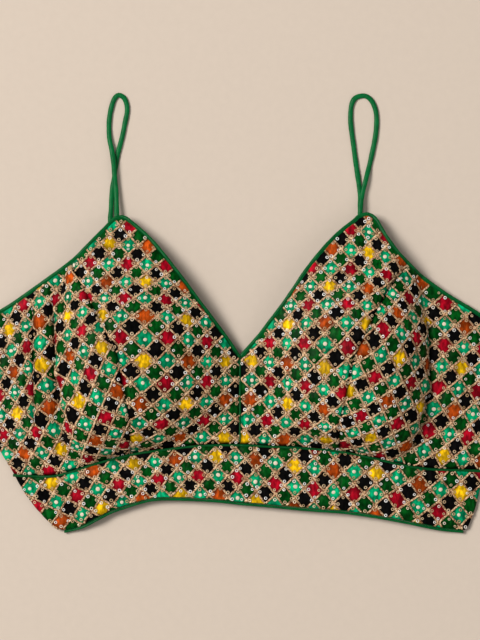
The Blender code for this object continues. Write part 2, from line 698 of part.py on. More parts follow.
def build_hooks(frame):
    """Hairpin hooks on the upper lap, each reaching over a bar on the lower one."""
    for number, y in enumerate(HOOK_YS, start=1):
        turns = [math.pi * (0.5 - k / HOOK_BEND_STEPS) for k in range(HOOK_BEND_STEPS + 1)]
        bend = [(HOOK_HALF_LENGTH - HOOK_HALF_WIDTH + HOOK_HALF_WIDTH * math.cos(a),
                 HOOK_HALF_WIDTH * math.sin(a)) for a in turns]
        shape = [(-HOOK_HALF_LENGTH, HOOK_HALF_WIDTH)] + bend + [(-HOOK_HALF_LENGTH, -HOOK_HALF_WIDTH)]
        route = [(u, y + v, HOOK_LEVEL) for u, v in shape]
        tube(f"hook_{number}", route, HOOK_WIRE, "wire", frame)
        bar = [(0.0, y + v, BAR_LEVEL) for v in (-BAR_HALF_LENGTH, 0.0, BAR_HALF_LENGTH)]
        tube(f"bar_{number}", bar, HOOK_WIRE, "wire", frame)


def main():
    for old in list(bpy.data.objects):
        bpy.data.objects.remove(old)
    bpy.context.scene.collection.children.link(COLLECTION)
    frame = bpy.data.objects.new("blouse_frame", None)
    frame.location = (-BOX_MIDDLE[0], -BOX_MIDDLE[1], 0)
    COLLECTION.objects.link(frame)
    build_front(frame)
    build_band(frame)
    build_back(frame)
    build_piping(frame)
    build_straps(frame)
    build_hooks(frame)


main()
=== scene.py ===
"""Looks of the spaghetti-strap blouse: fine cloth shells, braid lattice, sequins, dots and piping.

Metres, +Z up, and millimetres in the tables. The tables and the height of the front repeat the
part's own draft, whose zero is where the centre front seam meets the band seam. BOX_MIDDLE is the
frame's zero in that draft.
"""

import math
from collections import namedtuple

import bpy
import numpy as np
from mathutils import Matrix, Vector
from mathutils.bvhtree import BVHTree


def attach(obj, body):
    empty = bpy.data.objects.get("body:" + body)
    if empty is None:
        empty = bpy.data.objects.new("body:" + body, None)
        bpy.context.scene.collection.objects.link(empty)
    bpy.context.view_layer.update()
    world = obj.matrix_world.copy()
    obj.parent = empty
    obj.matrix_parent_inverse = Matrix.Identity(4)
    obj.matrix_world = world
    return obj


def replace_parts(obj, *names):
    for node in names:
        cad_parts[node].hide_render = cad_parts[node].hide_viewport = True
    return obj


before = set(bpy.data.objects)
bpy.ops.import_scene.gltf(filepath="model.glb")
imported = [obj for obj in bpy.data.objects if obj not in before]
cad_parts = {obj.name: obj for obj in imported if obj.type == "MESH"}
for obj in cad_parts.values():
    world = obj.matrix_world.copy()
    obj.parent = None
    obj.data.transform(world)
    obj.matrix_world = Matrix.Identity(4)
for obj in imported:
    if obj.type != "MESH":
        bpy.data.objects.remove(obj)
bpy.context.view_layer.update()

LEFT, RIGHT = -1, 1
SIDES = {LEFT: "left", RIGHT: "right"}
BOX_MIDDLE = np.array((0.0002, 0.1111, 0.0))

# Cloth, piping and the gaps between pieces
FRONT_THICKNESS = 0.0022
BACK_THICKNESS = 0.0018
SEAM_GAP = 0.0003
PIPING_RADIUS = 0.0011
BACK_PIPING_RADIUS = 0.0009
BAND_PIPING_SHIFT = 0.0014
EDGE_INSET = 2 * PIPING_RADIUS + SEAM_GAP
REST_TOP = BACK_THICKNESS + SEAM_GAP + FRONT_THICKNESS
PUFF_HEIGHT = 0.0048
PUFF_WIDTH = 0.060
Groove = namedtuple("Groove", "depth width side_fade")
SEAM_DIP = Groove(0.0008, 0.003, 0.030)
STITCH_GROOVE = Groove(0.0021, 0.0018, 0.014)


def metres(lengths):
    """Millimetres as metres."""
    return [round(length / 1000, 6) for length in lengths]


def table(columns, rows):
    """Rows of millimetres as rows of metres with named columns."""
    kind = namedtuple("Row", columns)
    return [kind(*metres(row)) for row in rows]


# Outlines in the draft. "out" is the distance from the centre front, outward on either side.
NECK = {
    LEFT: table("out y", [
        (0, 75.7), (9.3, 89.5), (17, 100), (35.7, 125), (54.4, 150), (74.8, 174.5), (93.2, 190.7),
    ]),
    RIGHT: table("out y", [
        (0, 75.7), (12.2, 89.5), (20.6, 100), (39.1, 125), (56.1, 150), (77.3, 175), (96.9, 191.3),
    ]),
}
PEAK = {
    LEFT: table("out y", [
        (93.2, 190.7), (96.2, 192.7), (101, 193.8), (106.7, 192.1), (109.4, 189.6), (112.2, 186.8),
    ]),
    RIGHT: table("out y", [
        (96.9, 191.3), (99.8, 194), (107.2, 196.1), (112.6, 194.5), (117, 190.1), (120.2, 184.2),
    ]),
}
ARMHOLE = {
    LEFT: table("out y", [
        (112.2, 186.8), (125, 173.8), (140, 158.5), (144, 155.3), (155, 147.2), (175, 133), (195, 119),
        (213, 108.6),
    ]),
    RIGHT: table("out y", [
        (120.2, 184.2), (125.8, 175), (135.4, 162.2), (144, 153.4), (155, 143), (175, 128.6),
        (195, 116.5), (214, 104.8),
    ]),
}
SIDE_EDGE = table("y left right", [
    (106.7, 213, 214), (85, 215.5, 216.5), (55, 216.5, 216.8), (25, 213.5, 215), (0, 206.5, 211.5),
    (-24, 192.5, 207), (-40, 183.8, 203.2), (-55, 172.6, 199.5), (-68, 160.5, 194.5), (-76, 149, 189.5),
])
PRINCESS = table("y left right", [
    (-4, 93.5, 84.2), (15, 92.7, 84.2), (35, 95.2, 88), (55, 99.5, 91.7), (75, 103, 96.5),
    (95, 112, 106.2), (115, 123.5, 115.8), (135, 133, 126.8), (154, 144, 144),
])
BAND_SEAM = table("x y", [
    (-192.5, -25.5), (-176, -26.3), (-160, -26.5), (-145, -23.1), (-119, -14.7), (-91, -7.7),
    (-63, -3.7), (-35, -0.6), (0, 0), (28, -1.3), (56, -2.7), (85, -5.5), (113, -11.1), (141, -17.4),
    (162, -20.3), (183, -21.2), (207.2, -21.9),
])
HEM = table("x y", [
    (-149, -76), (-133.5, -72), (-119, -64.5), (-105, -57.9), (-77, -49.4), (-56, -48.2), (-21, -49.7),
    (0, -52), (28, -54.4), (56, -57.2), (85, -59.2), (113, -62.9), (141, -68), (169, -73.8),
    (189.5, -76),
])

# The padded cups: the apex, and how far the dome reaches from it each way
CUPS = dict(zip(SIDES, table("apex_out apex_y outward inward up", [
    (104, 58, 50, 104, 150), (102, 60, 55, 100, 150),
])))
CUP_HEIGHT = 0.033
CUP_FOOT_GAP = 0.002
CUP_SQUARENESS_STEEP = 3.2
CUP_SQUARENESS_GENTLE = 2.4
CUP_STEEP = 0.80
CUP_GENTLE = 1.55
CUP_FOOT = table("y left right", [
    (-23, 144, 148), (20, 151.5, 155), (60, 154.5, 157.5), (100, 154.5, 157), (140, 154.5, 156),
])

# The long fold beside the left cup, and smaller creases
FOLD_TOP = (-0.163, 0.104)
FOLD_FOOT = (-0.160, 0.010)
FOLD_HEIGHT = 0.005
FOLD_WIDTH_OUTWARD = 0.008
FOLD_WIDTH_INWARD = 0.012
LEAN_SPREAD = 1.7
CREASES = table("x0 y0 x1 y1 rise width lean", [
    (-128, 140, -118, 105, -1.8, 4.5, 1.2), (-174.5, 112, -173, 20, -4.6, 2.1, 3),
    (-165.5, 108, -164, 26, 3.2, 4.8, 0), (-157.5, 119, -154, 64, -5.2, 2.2, 3),
    (-154, 58, -144, 19, -4.6, 2.4, 3), (-145, 135, -140, 100, 1.2, 5, 0),
    (-96, 85, -104, 30, -0.9, 5, 0), (-188, 70, -176, 15, 1.4, 9, 0), (-42, 25, -60, 70, -0.8, 8, 0),
    (135, 149, 121.5, 124, -3, 2.8, -1.2), (148, 120, 157, 101, -1.6, 3, 0),
    (158.2, 98, 160.2, 50, -4, 2.4, -2.6), (159.5, 44, 148, 11, -3.4, 2.6, -2.2),
    (184, 90, 180, 20, 1.2, 10, 0), (50, 22, 65, 60, -0.8, 8, 0), (-150, -35, -125, -64, 1.4, 8, 0),
    (-30, -15, -25, -42, 0.7, 10, 0), (60, -12, 56, -50, -0.7, 10, 0), (148, -30, 144, -65, 1, 10, 0),
])

# The back: a low straight-cut panel and its band, lapped at the centre back
BACK_TOP = table("out y", [
    (0, 66), (60, 72), (125, 82), (170, 92), (211.5, 105.5),
])
BACK_SIDE_INSET = 0.0005
BACK_HEM_RAISE = 0.002
BACK_PIPING_ROOM = BACK_PIPING_RADIUS + SEAM_GAP
LAP_HALF = 0.0075
LAP_LIFT = 0.0036
LAP_STEP_START = 0.022
LAP_STEP_END = 0.010

# Straps: a flattened cloth rouleau, and the levels that it lies at
STRAP_HALF_WIDTH = 0.00215
STRAP_HALF_THICKNESS = 0.0013
LOW = STRAP_HALF_THICKNESS
ON_BACK = BACK_THICKNESS + SEAM_GAP + STRAP_HALF_THICKNESS + 0.0001
STOPS_ON_BACK = 2
STRAP_START_LEVELS = {
    LEFT: metres((8, 7.2, 5.5, 4.5, 4.5, 4.5, 4, 2.5)),
    RIGHT: metres((8, 7.2, 5.8, 4.5, 4)),
}
STRAP_PLANS = {
    LEFT: table("x y", [
        (-104, 185), (-104.5, 196), (-104.8, 207.6), (-105.3, 216.8), (-106.5, 227.9), (-107.4, 239.4),
        (-108.8, 249.1), (-110.7, 258.2), (-111.3, 267.5), (-110.9, 276.7), (-109.2, 285.9),
        (-106.5, 293.3), (-102.9, 296.1), (-98.7, 293.8), (-96.4, 288.7), (-95.9, 282.2),
        (-97.8, 272.1), (-99.6, 262.9), (-101.9, 253.6), (-104.2, 244.5), (-105.6, 235.2),
        (-106.9, 226), (-108.4, 216.8), (-109.1, 207.6), (-109.6, 198.3), (-110.2, 190.1),
        (-110.5, 170), (-111, 140), (-112, 110), (-113, 88), (-113, 72),
    ]),
    RIGHT: table("x y", [
        (101.5, 186), (101.9, 196.8), (102.8, 206.2), (104.1, 212.7), (106.9, 224.4), (109.9, 236.1),
        (112.5, 247.9), (114.8, 259.5), (116, 271.2), (115.5, 281.7), (112.5, 290.1), (108, 294.7),
        (103.4, 295.5), (97.6, 293.3), (94.6, 286.9), (93.9, 276.4), (94.7, 266.1), (96.3, 254.3),
        (97.8, 242.6), (99.5, 230.9), (101.2, 219.2), (102.2, 210.1), (102.2, 195.9), (104, 150),
        (108, 110), (110, 88), (110, 72),
    ]),
}

# Grids of the cloth: those of the solids, and how many fine steps each of their spans has here
CURVE_STEPS = 8
LINE_STEPS = 40
CENTRE_COLUMNS = 13
CUP_COLUMNS = 7
SIDE_COLUMNS = 7
CENTRE_SEAM_ROWS = 8
NECK_ROWS = 16
PRINCESS_ROWS = 19
ARM_ROWS = CENTRE_SEAM_ROWS + NECK_ROWS - PRINCESS_ROWS
BAND_ROWS = 5
FINE = 4
SIDE_FINE = 6
BACK_COLUMNS = 18
LAP_STEP_COLUMNS = 3
LAP_COLUMNS = 2
BACK_ROWS = 8
BACK_BAND_ROWS = 4
BACK_FINE = 3
SIDE_PIPING_START = 0.1935
V_OVERLAP = 0.0015


def catmull_rom(points, steps=CURVE_STEPS):
    """A smooth curve through the points, with the same number of steps in each span."""
    p = np.asarray(points, float)
    p = np.concatenate([2 * p[:1] - p[1:2], p, 2 * p[-1:] - p[-2:-1]])
    a, b, c, d = p[:-3], p[1:-2], p[2:-1], p[3:]
    curve = np.empty(((len(p) - 3) * steps + 1, *p.shape[1:]))
    for k in range(steps):
        t = k / steps
        curve[k:-1:steps] = 0.5 * (2 * b + (c - a) * t + (2 * a - 5 * b + 4 * c - d) * t**2
                                   + (3 * b - a - 3 * c + d) * t**3)
    curve[-1] = p[-2]
    return curve


def resample(curve, count):
    """The curve again, in a number of spans of equal length."""
    length = np.concatenate([[0], np.cumsum(np.linalg.norm(np.diff(curve, axis=0), axis=1))])
    at = np.linspace(0, length[-1], count + 1)
    return np.stack([np.interp(at, length, column) for column in curve.T], axis=1)


def chain(*stretches):
    """Joins (curve, spans) stretches end to end, so that each joint falls on a vertex."""
    points = [resample(curve, count) for curve, count in stretches]
    return np.vstack([points[0]] + [p[1:] for p in points[1:]])


def unit(vectors):
    return vectors / np.maximum(np.linalg.norm(vectors, axis=-1, keepdims=True), 1e-12)


def offset(curve, distance):
    """The plan curve moved sideways, to the left of its direction where distance is positive."""
    run = unit(np.gradient(curve[:, :2], axis=0))
    moved = curve.copy()
    moved[:, 0] -= run[:, 1] * distance
    moved[:, 1] += run[:, 0] * distance
    return moved


def smoothstep(t):
    t = np.clip(t, 0, 1)
    return t * t * (3 - 2 * t)


def plan(rows, side):
    return catmull_rom([(side * p.out, p.y) for p in rows[side]])


def rows_curve(rows, side):
    """A curve from rows of y, left and right, from the lowest y up."""
    return catmull_rom([(side * (r.left if side == LEFT else r.right), r.y) for r in sorted(rows)])


SEAM_CURVE = catmull_rom(BAND_SEAM)
HEM_CURVE = catmull_rom(HEM)
SIDE_CURVES = {side: rows_curve(SIDE_EDGE, side) for side in SIDES}
PRINCESS_CURVES = {side: rows_curve(PRINCESS, side) for side in SIDES}


def seam_y(x):
    return np.interp(x, SEAM_CURVE[:, 0], SEAM_CURVE[:, 1])


def side_x(side, y):
    """Distance of the side edge from the centre front, at the height y."""
    curve = SIDE_CURVES[side]
    return np.interp(y, curve[:, 1], np.abs(curve[:, 0]))


def princess_x(side, y):
    curve = PRINCESS_CURVES[side]
    return np.interp(y, curve[:, 1], curve[:, 0])


def cloth_edge(rows, side):
    """The front's cloth edge, inside the piping on that free edge."""
    return offset(plan(rows, side), side * -EDGE_INSET)


# The front's height
def on_each_side(rule, x, y):
    return np.where(x < 0, rule(x, y, LEFT), rule(x, y, RIGHT))


def cup_rise(x, y, side):
    cup = CUPS[side]
    out, up = side * x - cup.apex_out, y - cup.apex_y
    reach_x = np.where(out > 0, cup.outward, cup.inward)
    reach_y = np.where(up > 0, cup.up, cup.apex_y - seam_y(x) - CUP_FOOT_GAP)
    across = np.abs(out / reach_x) ** np.where(out > 0, CUP_SQUARENESS_STEEP, CUP_SQUARENESS_GENTLE)
    along = np.abs(up / reach_y) ** np.where(up > 0, CUP_SQUARENESS_GENTLE, CUP_SQUARENESS_STEEP)
    gentle = np.where(out > 0, 0, across) + np.where(up > 0, along, 0)
    power = CUP_STEEP + (CUP_GENTLE - CUP_STEEP) * gentle / np.maximum(across + along, 1e-9)
    return CUP_HEIGHT * np.clip(1 - across - along, 0, None) ** power


def from_segment(x, y, start, end):
    """Signed distance across a segment and the distance past its nearer end."""
    run = np.array(end) - start
    length = np.hypot(*run)
    along = ((x - start[0]) * run[0] + (y - start[1]) * run[1]) / length
    across = ((x - start[0]) * run[1] - (y - start[1]) * run[0]) / length
    return across, np.maximum(np.maximum(-along, along - length), 0)


def fold_rise(x, y):
    across, beyond = from_segment(x, y, FOLD_FOOT, FOLD_TOP)
    width = np.where(across < 0, FOLD_WIDTH_OUTWARD, FOLD_WIDTH_INWARD)
    return FOLD_HEIGHT * np.exp(-(across / width) ** 2 - (beyond / FOLD_WIDTH_INWARD) ** 2)


def crease_rise(x, y):
    rise = 0.0
    for c in CREASES:
        across, beyond = from_segment(x, y, (c.x0, c.y0), (c.x1, c.y1))
        rise = rise + c.rise * np.exp(-(across / c.width) ** 2 - (beyond / (2 * c.width)) ** 2)
    return rise


def leaning(x, y):
    """How far the cloth beside a crease leans over it, from the right where its lean is positive."""
    moved = np.zeros((2, *np.shape(x)))
    for c in CREASES:
        if c.lean:
            across, beyond = from_segment(x, y, (c.x1, c.y1), (c.x0, c.y0))
            reach = LEAN_SPREAD * c.width
            beside = across * np.sign(c.lean) - reach
            amount = abs(c.lean) * np.exp(-(beside / reach) ** 2 - (beyond / (2 * reach)) ** 2)
            run = unit(np.array((c.x0 - c.x1, c.y0 - c.y1)))
            moved -= amount * np.sign(c.lean) * np.reshape((run[1], -run[0]), (2, *[1] * np.ndim(x)))
    return moved


def side_distance(x, y, side):
    return side_x(side, y) - np.abs(x)


def seam_distance(x, y, side):
    above = y > seam_y(x) - SEAM_DIP.width
    to_upright = np.where(above, np.minimum(np.abs(x - princess_x(side, y)), np.abs(x)), 1.0)
    return np.minimum(np.abs(y - seam_y(x)), to_upright)


def groove(shape):
    """The rule for how far a groove draws the cloth down into the nearest seam."""
    def drop(x, y, side):
        clear_of_side = smoothstep(side_distance(x, y, side) / shape.side_fade)
        return shape.depth * clear_of_side * np.exp(-(seam_distance(x, y, side) / shape.width) ** 2)
    return drop


def puff(x, y, side):
    return PUFF_HEIGHT * smoothstep(side_distance(x, y, side) / PUFF_WIDTH)


def front_top(x, y):
    """Height of the front's outer face over the table."""
    rise = sum(on_each_side(rule, x, y) for rule in (puff, cup_rise))
    return REST_TOP + rise + fold_rise(x, y) - on_each_side(groove(SEAM_DIP), x, y)


def lap_lift(x):
    """The left half of the back climbs over the right half's edge at the lap."""
    return LAP_LIFT * smoothstep((x + LAP_STEP_START) / (LAP_STEP_START - LAP_STEP_END))


# Plan lines and nets of the cloth pieces, as in the solids
def inward_normals(line, inside):
    run = unit(np.gradient(line, axis=0))
    normal = np.stack([-run[:, 1], run[:, 0]], axis=1)
    facing = np.sign((normal * (inside - line)).sum(axis=1, keepdims=True))
    return normal * np.where(facing == 0, 1, facing)


def coons(bottom, top, left, right):
    """Plan points of a patch between four lines."""
    s = np.linspace(0, 1, len(bottom))[:, None, None]
    t = np.linspace(0, 1, len(left))[None, :, None]
    ends = ((1 - s) * (1 - t) * bottom[0] + s * (1 - t) * bottom[-1]
            + (1 - s) * t * top[0] + s * t * top[-1])
    return (1 - t) * bottom[:, None] + t * top[:, None] + (1 - s) * left[None] + s * right[None] - ends


def patch(columns, rows, bottom, top, left, right):
    """The same between four curves, which it first divides into columns and rows."""
    ends = (resample(curve, columns) for curve in (bottom, top))
    sides = (resample(curve, rows) for curve in (left, right))
    return coons(*ends, *sides)


def drawn_in(net, insets):
    """The patch with its bottom, top, left and right lines moved inward by their insets."""
    lines = ((np.s_[:, 0], np.s_[:, 1]), (np.s_[:, -1], np.s_[:, -2]),
             (np.s_[0, :], np.s_[1, :]), (np.s_[-1, :], np.s_[-2, :]))
    moves = np.zeros_like(net)
    for (edge, inner), inset in zip(lines, insets):
        moves[edge] += inward_normals(net[edge], net[inner]) * inset
    return net + moves


def centre_line(side):
    """The centre front seam, from the band seam up to the cloth's own V."""
    neck = cloth_edge(NECK, side)
    run = neck[1] - neck[0]
    top_y = neck[0][1] - neck[0][0] * run[1] / run[0]
    return np.array([(0.0, 0.0), (0.0, top_y)])


def neck_line(side):
    neck = cloth_edge(NECK, side)
    return np.vstack([centre_line(side)[-1], neck[1:]])


def split_at(line, x):
    """The line in two stretches, parted at the point nearest to x."""
    split = int(np.argmin(np.abs(line[:, 0] - x)))
    return line[:split + 1], line[split:]


def arm_lines(side):
    """The armhole's cloth edge, as the stretch over the centre panel and the one over the side."""
    edge = cloth_edge(ARMHOLE, side)
    run = edge[-1] - edge[-2]
    short = side_x(side, edge[-1][1]) - abs(edge[-1][0])
    corner = edge[-1] + run * short / abs(run[0])
    corner[0] = side * side_x(side, corner[1])
    return split_at(np.vstack([edge, corner]), PRINCESS_CURVES[side][-1][0])


def princess_line(side):
    """The princess seam from the band seam up to the armhole's cloth edge."""
    curve = PRINCESS_CURVES[side]
    over, _ = arm_lines(side)
    inside = curve[curve[:, 1] < over[-1][1] - EDGE_INSET]
    foot = np.array([inside[0][0], seam_y(inside[0][0])])
    return np.vstack([foot, inside[1:], over[-1]])


def cup_foot_line(side):
    """The outer foot of the cup, from the band seam up to the armhole's cloth edge."""
    curve = rows_curve(CUP_FOOT, side)
    _, beside = arm_lines(side)
    _, to_side = split_at(beside, curve[-1][0])
    foot = np.array([curve[0][0], seam_y(curve[0][0])])
    return np.vstack([foot, curve[1:], to_side[0]])


def seam_stretch(x_from, x_to):
    xs = np.linspace(x_from, x_to, LINE_STEPS)
    return np.stack([xs, seam_y(xs)], axis=1)


def side_line(side, y_from, y_to, inset=0.0):
    ys = np.linspace(y_from, y_to, LINE_STEPS)
    return np.stack([side * (side_x(side, ys) - inset), ys], axis=1)


def front_nets():
    """The plan nets of the front's panels, and their fine steps in each span of the solids' nets."""
    half = SEAM_GAP / 2
    nets = {}
    for side, label in SIDES.items():
        over, beside = arm_lines(side)
        princess = princess_line(side)
        foot_x = princess[0][0]
        inner = chain((centre_line(side), CENTRE_SEAM_ROWS * FINE), (neck_line(side), NECK_ROWS * FINE))
        outer = chain((princess, PRINCESS_ROWS * FINE), (over[::-1], ARM_ROWS * FINE))
        bottom = resample(seam_stretch(0.0, foot_x), CENTRE_COLUMNS * FINE)
        top = resample(cloth_edge(PEAK, side), CENTRE_COLUMNS * FINE)
        top[0], top[-1] = inner[-1], outer[-1]
        net = drawn_in(coons(bottom, top, inner, outer), (half, 0, half, half))
        nets["front_centre_" + label] = net, (FINE, FINE)

        seam_end = BAND_SEAM[0] if side == LEFT else BAND_SEAM[-1]
        cup_foot = cup_foot_line(side)
        to_foot, to_side = split_at(beside, cup_foot[-1][0])
        on_cup = patch(CUP_COLUMNS * SIDE_FINE, PRINCESS_ROWS * FINE,
                       seam_stretch(foot_x, cup_foot[0][0]), to_foot, princess, cup_foot)
        beside_cup = patch(SIDE_COLUMNS * SIDE_FINE, PRINCESS_ROWS * FINE,
                           seam_stretch(cup_foot[0][0], seam_end.x), to_side,
                           cup_foot, side_line(side, seam_end.y, beside[-1][1]))
        net = drawn_in(np.vstack([on_cup, beside_cup[1:]]), (half, half, half, 0))
        nets["front_side_" + label] = net, (SIDE_FINE, FINE)

    marks = [(BAND_SEAM[0].x, 0)]
    for side, columns in ((LEFT, (SIDE_COLUMNS, CUP_COLUMNS)), (RIGHT, (CENTRE_COLUMNS, CUP_COLUMNS))):
        feet = sorted((cup_foot_line(side)[0][0], princess_line(side)[0][0]))
        marks += zip(feet, columns)
        marks.append((0.0, CENTRE_COLUMNS) if side == LEFT else (BAND_SEAM[-1].x, SIDE_COLUMNS))
    top = chain(*(
        (seam_stretch(here[0], after[0]), after[1] * FINE) for here, after in zip(marks, marks[1:])
    ))
    bottom = resample(offset(HEM_CURVE, EDGE_INSET), len(top) - 1)
    left = resample(side_line(LEFT, bottom[0][1], BAND_SEAM[0].y), BAND_ROWS * FINE)
    right = resample(side_line(RIGHT, bottom[-1][1], BAND_SEAM[-1].y), BAND_ROWS * FINE)
    left[0], left[-1] = bottom[0], top[0]
    right[0], right[-1] = bottom[-1], top[-1]
    nets["front_band"] = drawn_in(coons(bottom, top, left, right), (0, half, 0, 0)), (FINE, FINE)
    return nets


# The flat cut of each panel
RELAX_STEPS = 1500
RELAX_SHARE = 0.22
SPRINGS = (
    (np.s_[1:, :], np.s_[:-1, :]), (np.s_[:, 1:], np.s_[:, :-1]),
    (np.s_[1:, 1:], np.s_[:-1, :-1]), (np.s_[1:, :-1], np.s_[:-1, 1:]),
)


def flatten(points, fine):
    """Plan coordinates, relaxed until the lengths between them are those on the cloth."""
    coarse = points[::fine[0], ::fine[1]]
    flat = coarse[..., :2].copy()
    lengths = [np.linalg.norm(coarse[a] - coarse[b], axis=-1, keepdims=True) for a, b in SPRINGS]
    for _ in range(RELAX_STEPS):
        push = np.zeros_like(flat)
        for (a, b), length in zip(SPRINGS, lengths):
            gap = flat[a] - flat[b]
            now = np.linalg.norm(gap, axis=-1, keepdims=True)
            move = gap * (0.5 * (now - length) / now)
            push[a] -= move
            push[b] += move
        flat += push * RELAX_SHARE
    finer = catmull_rom(flat, fine[0])
    return catmull_rom(finer.swapaxes(0, 1), fine[1]).swapaxes(0, 1)


# The middles of a few cells on each panel: half columns, half rows, and the place in the draft
MARKS = {
    "front_centre_left": [
        (-8, -11, -92.9, 184.1), (-10, -9, -110.2, 169.3), (-10, -5, -111.8, 136.5),
        (-2, -5, -47.1, 133.3), (-10, -1, -115.3, 109.5), (-8, -1, -101.1, 108.1),
        (-6, -1, -79.2, 108.9), (-6, 1, -80.2, 89), (-4, 1, -60.8, 90.8), (-2, 3, -43.2, 70.2),
        (-6, 7, -83.5, 34.3), (-2, 7, -45.7, 34.4), (2, 7, -13, 37.7), (2, 11, -13.2, 5),
    ],
    "front_side_left": [
        (0, -3, -183.6, 117.3), (4, -3, -157.6, 122.5), (8, -3, -130.8, 125.3), (2, -1, -169.5, 103.5),
        (6, 1, -144.8, 92.2), (10, 1, -117.4, 99.5), (-2, 3, -191.9, 61.3), (2, 3, -168, 67.1),
        (10, 3, -116.4, 81.6), (4, 5, -152.1, 52.5), (10, 5, -109.9, 63.9), (-2, 7, -189, 25.8),
        (2, 7, -161.3, 31.5), (6, 7, -135.2, 36.6), (10, 7, -103, 45), (-4, 11, -197.8, -9),
        (2, 11, -151.2, -4.6), (4, 13, -128.2, -12.1),
    ],
    "front_centre_right": [
        (12, -11, 93.6, 181.5), (18, -9, 135.8, 154.2), (10, -7, 76.8, 148.3), (14, -7, 108.9, 145.4),
        (6, -3, 43.2, 116.7), (10, -1, 71.4, 103.2), (14, -1, 106.1, 101.6), (8, 1, 53.8, 85.5),
        (12, 1, 90.6, 82), (2, 3, 10.3, 70.4), (12, 5, 85.9, 43.6), (4, 7, 25.9, 36.6),
        (8, 7, 55.2, 32.7), (2, 11, 2.9, 3.7), (6, 11, 37.2, 3.9), (10, 11, 73, 4.1),
    ],
    "front_side_right": [
        (-4, -3, 142.2, 122.9), (0, -3, 173.7, 118.5), (-8, 1, 120.8, 97.4), (-4, 1, 148.5, 90.3),
        (0, 1, 172.9, 83.7), (-10, 3, 102.9, 80), (-8, 3, 118.4, 74.7), (-2, 3, 158.4, 67.5),
        (-10, 5, 96.3, 61.6), (2, 5, 185.1, 47.1), (-8, 9, 101.8, 24.4), (-4, 9, 132, 18.1),
        (0, 9, 159.7, 11.2), (4, 9, 192.9, 6.1),
    ],
    "front_band": [
        (-18, 7, -160.1, -33.3), (-14, 7, -124.6, -22.6), (-8, 7, -72.6, -15.6), (-2, 7, -20.2, -10.6),
        (6, 7, 46.4, -18.4), (18, 7, 152.2, -34.5), (22, 7, 187.3, -41.3), (12, 9, 96.4, -42.2),
        (14, 9, 114.8, -41.9), (20, 9, 167.9, -57.8), (-18, 11, -151.2, -65.6), (-10, 11, -83.4, -46.3),
        (-2, 11, -17.7, -43.6), (2, 11, 13.3, -49.4),
    ],
}
MARK_UNIT = 0.05
MARK_SLACK = 0.003
HALF_PITCH = 0.0087


def nearest_flat(net, flat, x, y):
    """The flat place of a plan point, by the slopes of the net round the vertex nearest to it."""
    away = np.hypot(net[..., 0] - x, net[..., 1] - y)
    i, j = np.unravel_index(np.argmin(away), away.shape)
    i, j = min(max(i, 1), net.shape[0] - 2), min(max(j, 1), net.shape[1] - 2)
    plan_slopes, flat_slopes = (
        np.stack([g[i + 1, j] - g[i - 1, j], g[i, j + 1] - g[i, j - 1]], axis=1) for g in (net, flat)
    )
    return flat[i, j] + flat_slopes @ np.linalg.solve(plan_slopes, np.array((x, y)) - net[i, j])


def bending(places, at):
    gap = np.linalg.norm(at[:, None] - places[None], axis=-1)
    return gap * gap * np.log(np.maximum(gap, 1e-9))


def thin_plate(places, values, at):
    """Values at other places, on the smoothest surface close to those given."""
    count = len(places)
    linear, linear_at = (np.column_stack([np.ones(len(p)), p]) for p in (places, at))
    stiff = np.block([
        [bending(places, places) + MARK_SLACK * np.eye(count), linear],
        [linear.T, np.zeros((3, 3))],
    ])
    weights = np.linalg.solve(stiff, np.vstack([values, np.zeros((3, values.shape[1]))]))
    return bending(places, at) @ weights[:count] + linear_at @ weights[count:]


def to_cells(half_columns, half_rows):
    """Cell coordinates, whose whole numbers are the lattice's lines."""
    return np.stack([half_columns + half_rows, half_columns - half_rows], axis=-1) / 2


def marked_lattice(name, net, flat):
    """Cell coordinates of a front panel's vertices, fitted to its marks.

    The lattice stands on its points. Half columns count to the right, and half rows downwards.
    """
    marks = MARKS[name]
    places = np.array([nearest_flat(net, flat, *metres(mark[2:])) for mark in marks]) / MARK_UNIT
    values = np.array([mark[:2] for mark in marks], float)
    fitted = thin_plate(places, values, flat.reshape(-1, 2) / MARK_UNIT)
    return to_cells(*fitted.T).reshape(*net.shape[:2], 2)


def plain_lattice(net):
    """Cell coordinates of a flat back panel's vertices."""
    return to_cells(net[..., 0] / HALF_PITCH, -net[..., 1] / HALF_PITCH)


# Small relief of the front's cloth
CELL_PUFF = 0.00085
CELL_SQUARENESS = 0.6
LUMP = 0.00018
LUMP_WAVES = ((310, 190, 1.0, 1.0), (-270, 230, 2.0, 1.0), (470, -120, 0.0, 0.7), (90, 520, 0.5, 0.7))
ROLL_WIDTH = 0.0030
ROLL_DROP = 0.0011
SLOPE_STEP = 0.0004


def cell_puff(lattice):
    """The satin stands up a little between the lines that are sewn down."""
    return CELL_PUFF * np.abs(np.sin(np.pi * lattice)).prod(axis=-1) ** CELL_SQUARENESS


def lumps(x, y):
    """Slight unevenness of padded cloth that has been handled."""
    return LUMP * sum(share * np.sin(a * x + b * y + phase) for a, b, phase, share in LUMP_WAVES)


def side_roll(x, y, side):
    """How far the cloth curls down at the side edges, towards the back."""
    return ROLL_DROP * np.clip(1 - side_distance(x, y, side) / ROLL_WIDTH, 0, 1) ** 2


def front_height(x, y):
    return front_top(x, y) + crease_rise(x, y) + lumps(x, y) - on_each_side(groove(STITCH_GROOVE), x, y)


def shown_points(x, y):
    """The front's shown face over plan points."""
    moved = leaning(x, y)
    return np.stack([x + moved[0], y + moved[1], shown_top(x, y)], axis=-1)


def shown_normals(x, y):
    along_x = shown_points(x + SLOPE_STEP, y) - shown_points(x - SLOPE_STEP, y)
    along_y = shown_points(x, y + SLOPE_STEP) - shown_points(x, y - SLOPE_STEP)
    return unit(np.cross(along_x, along_y))


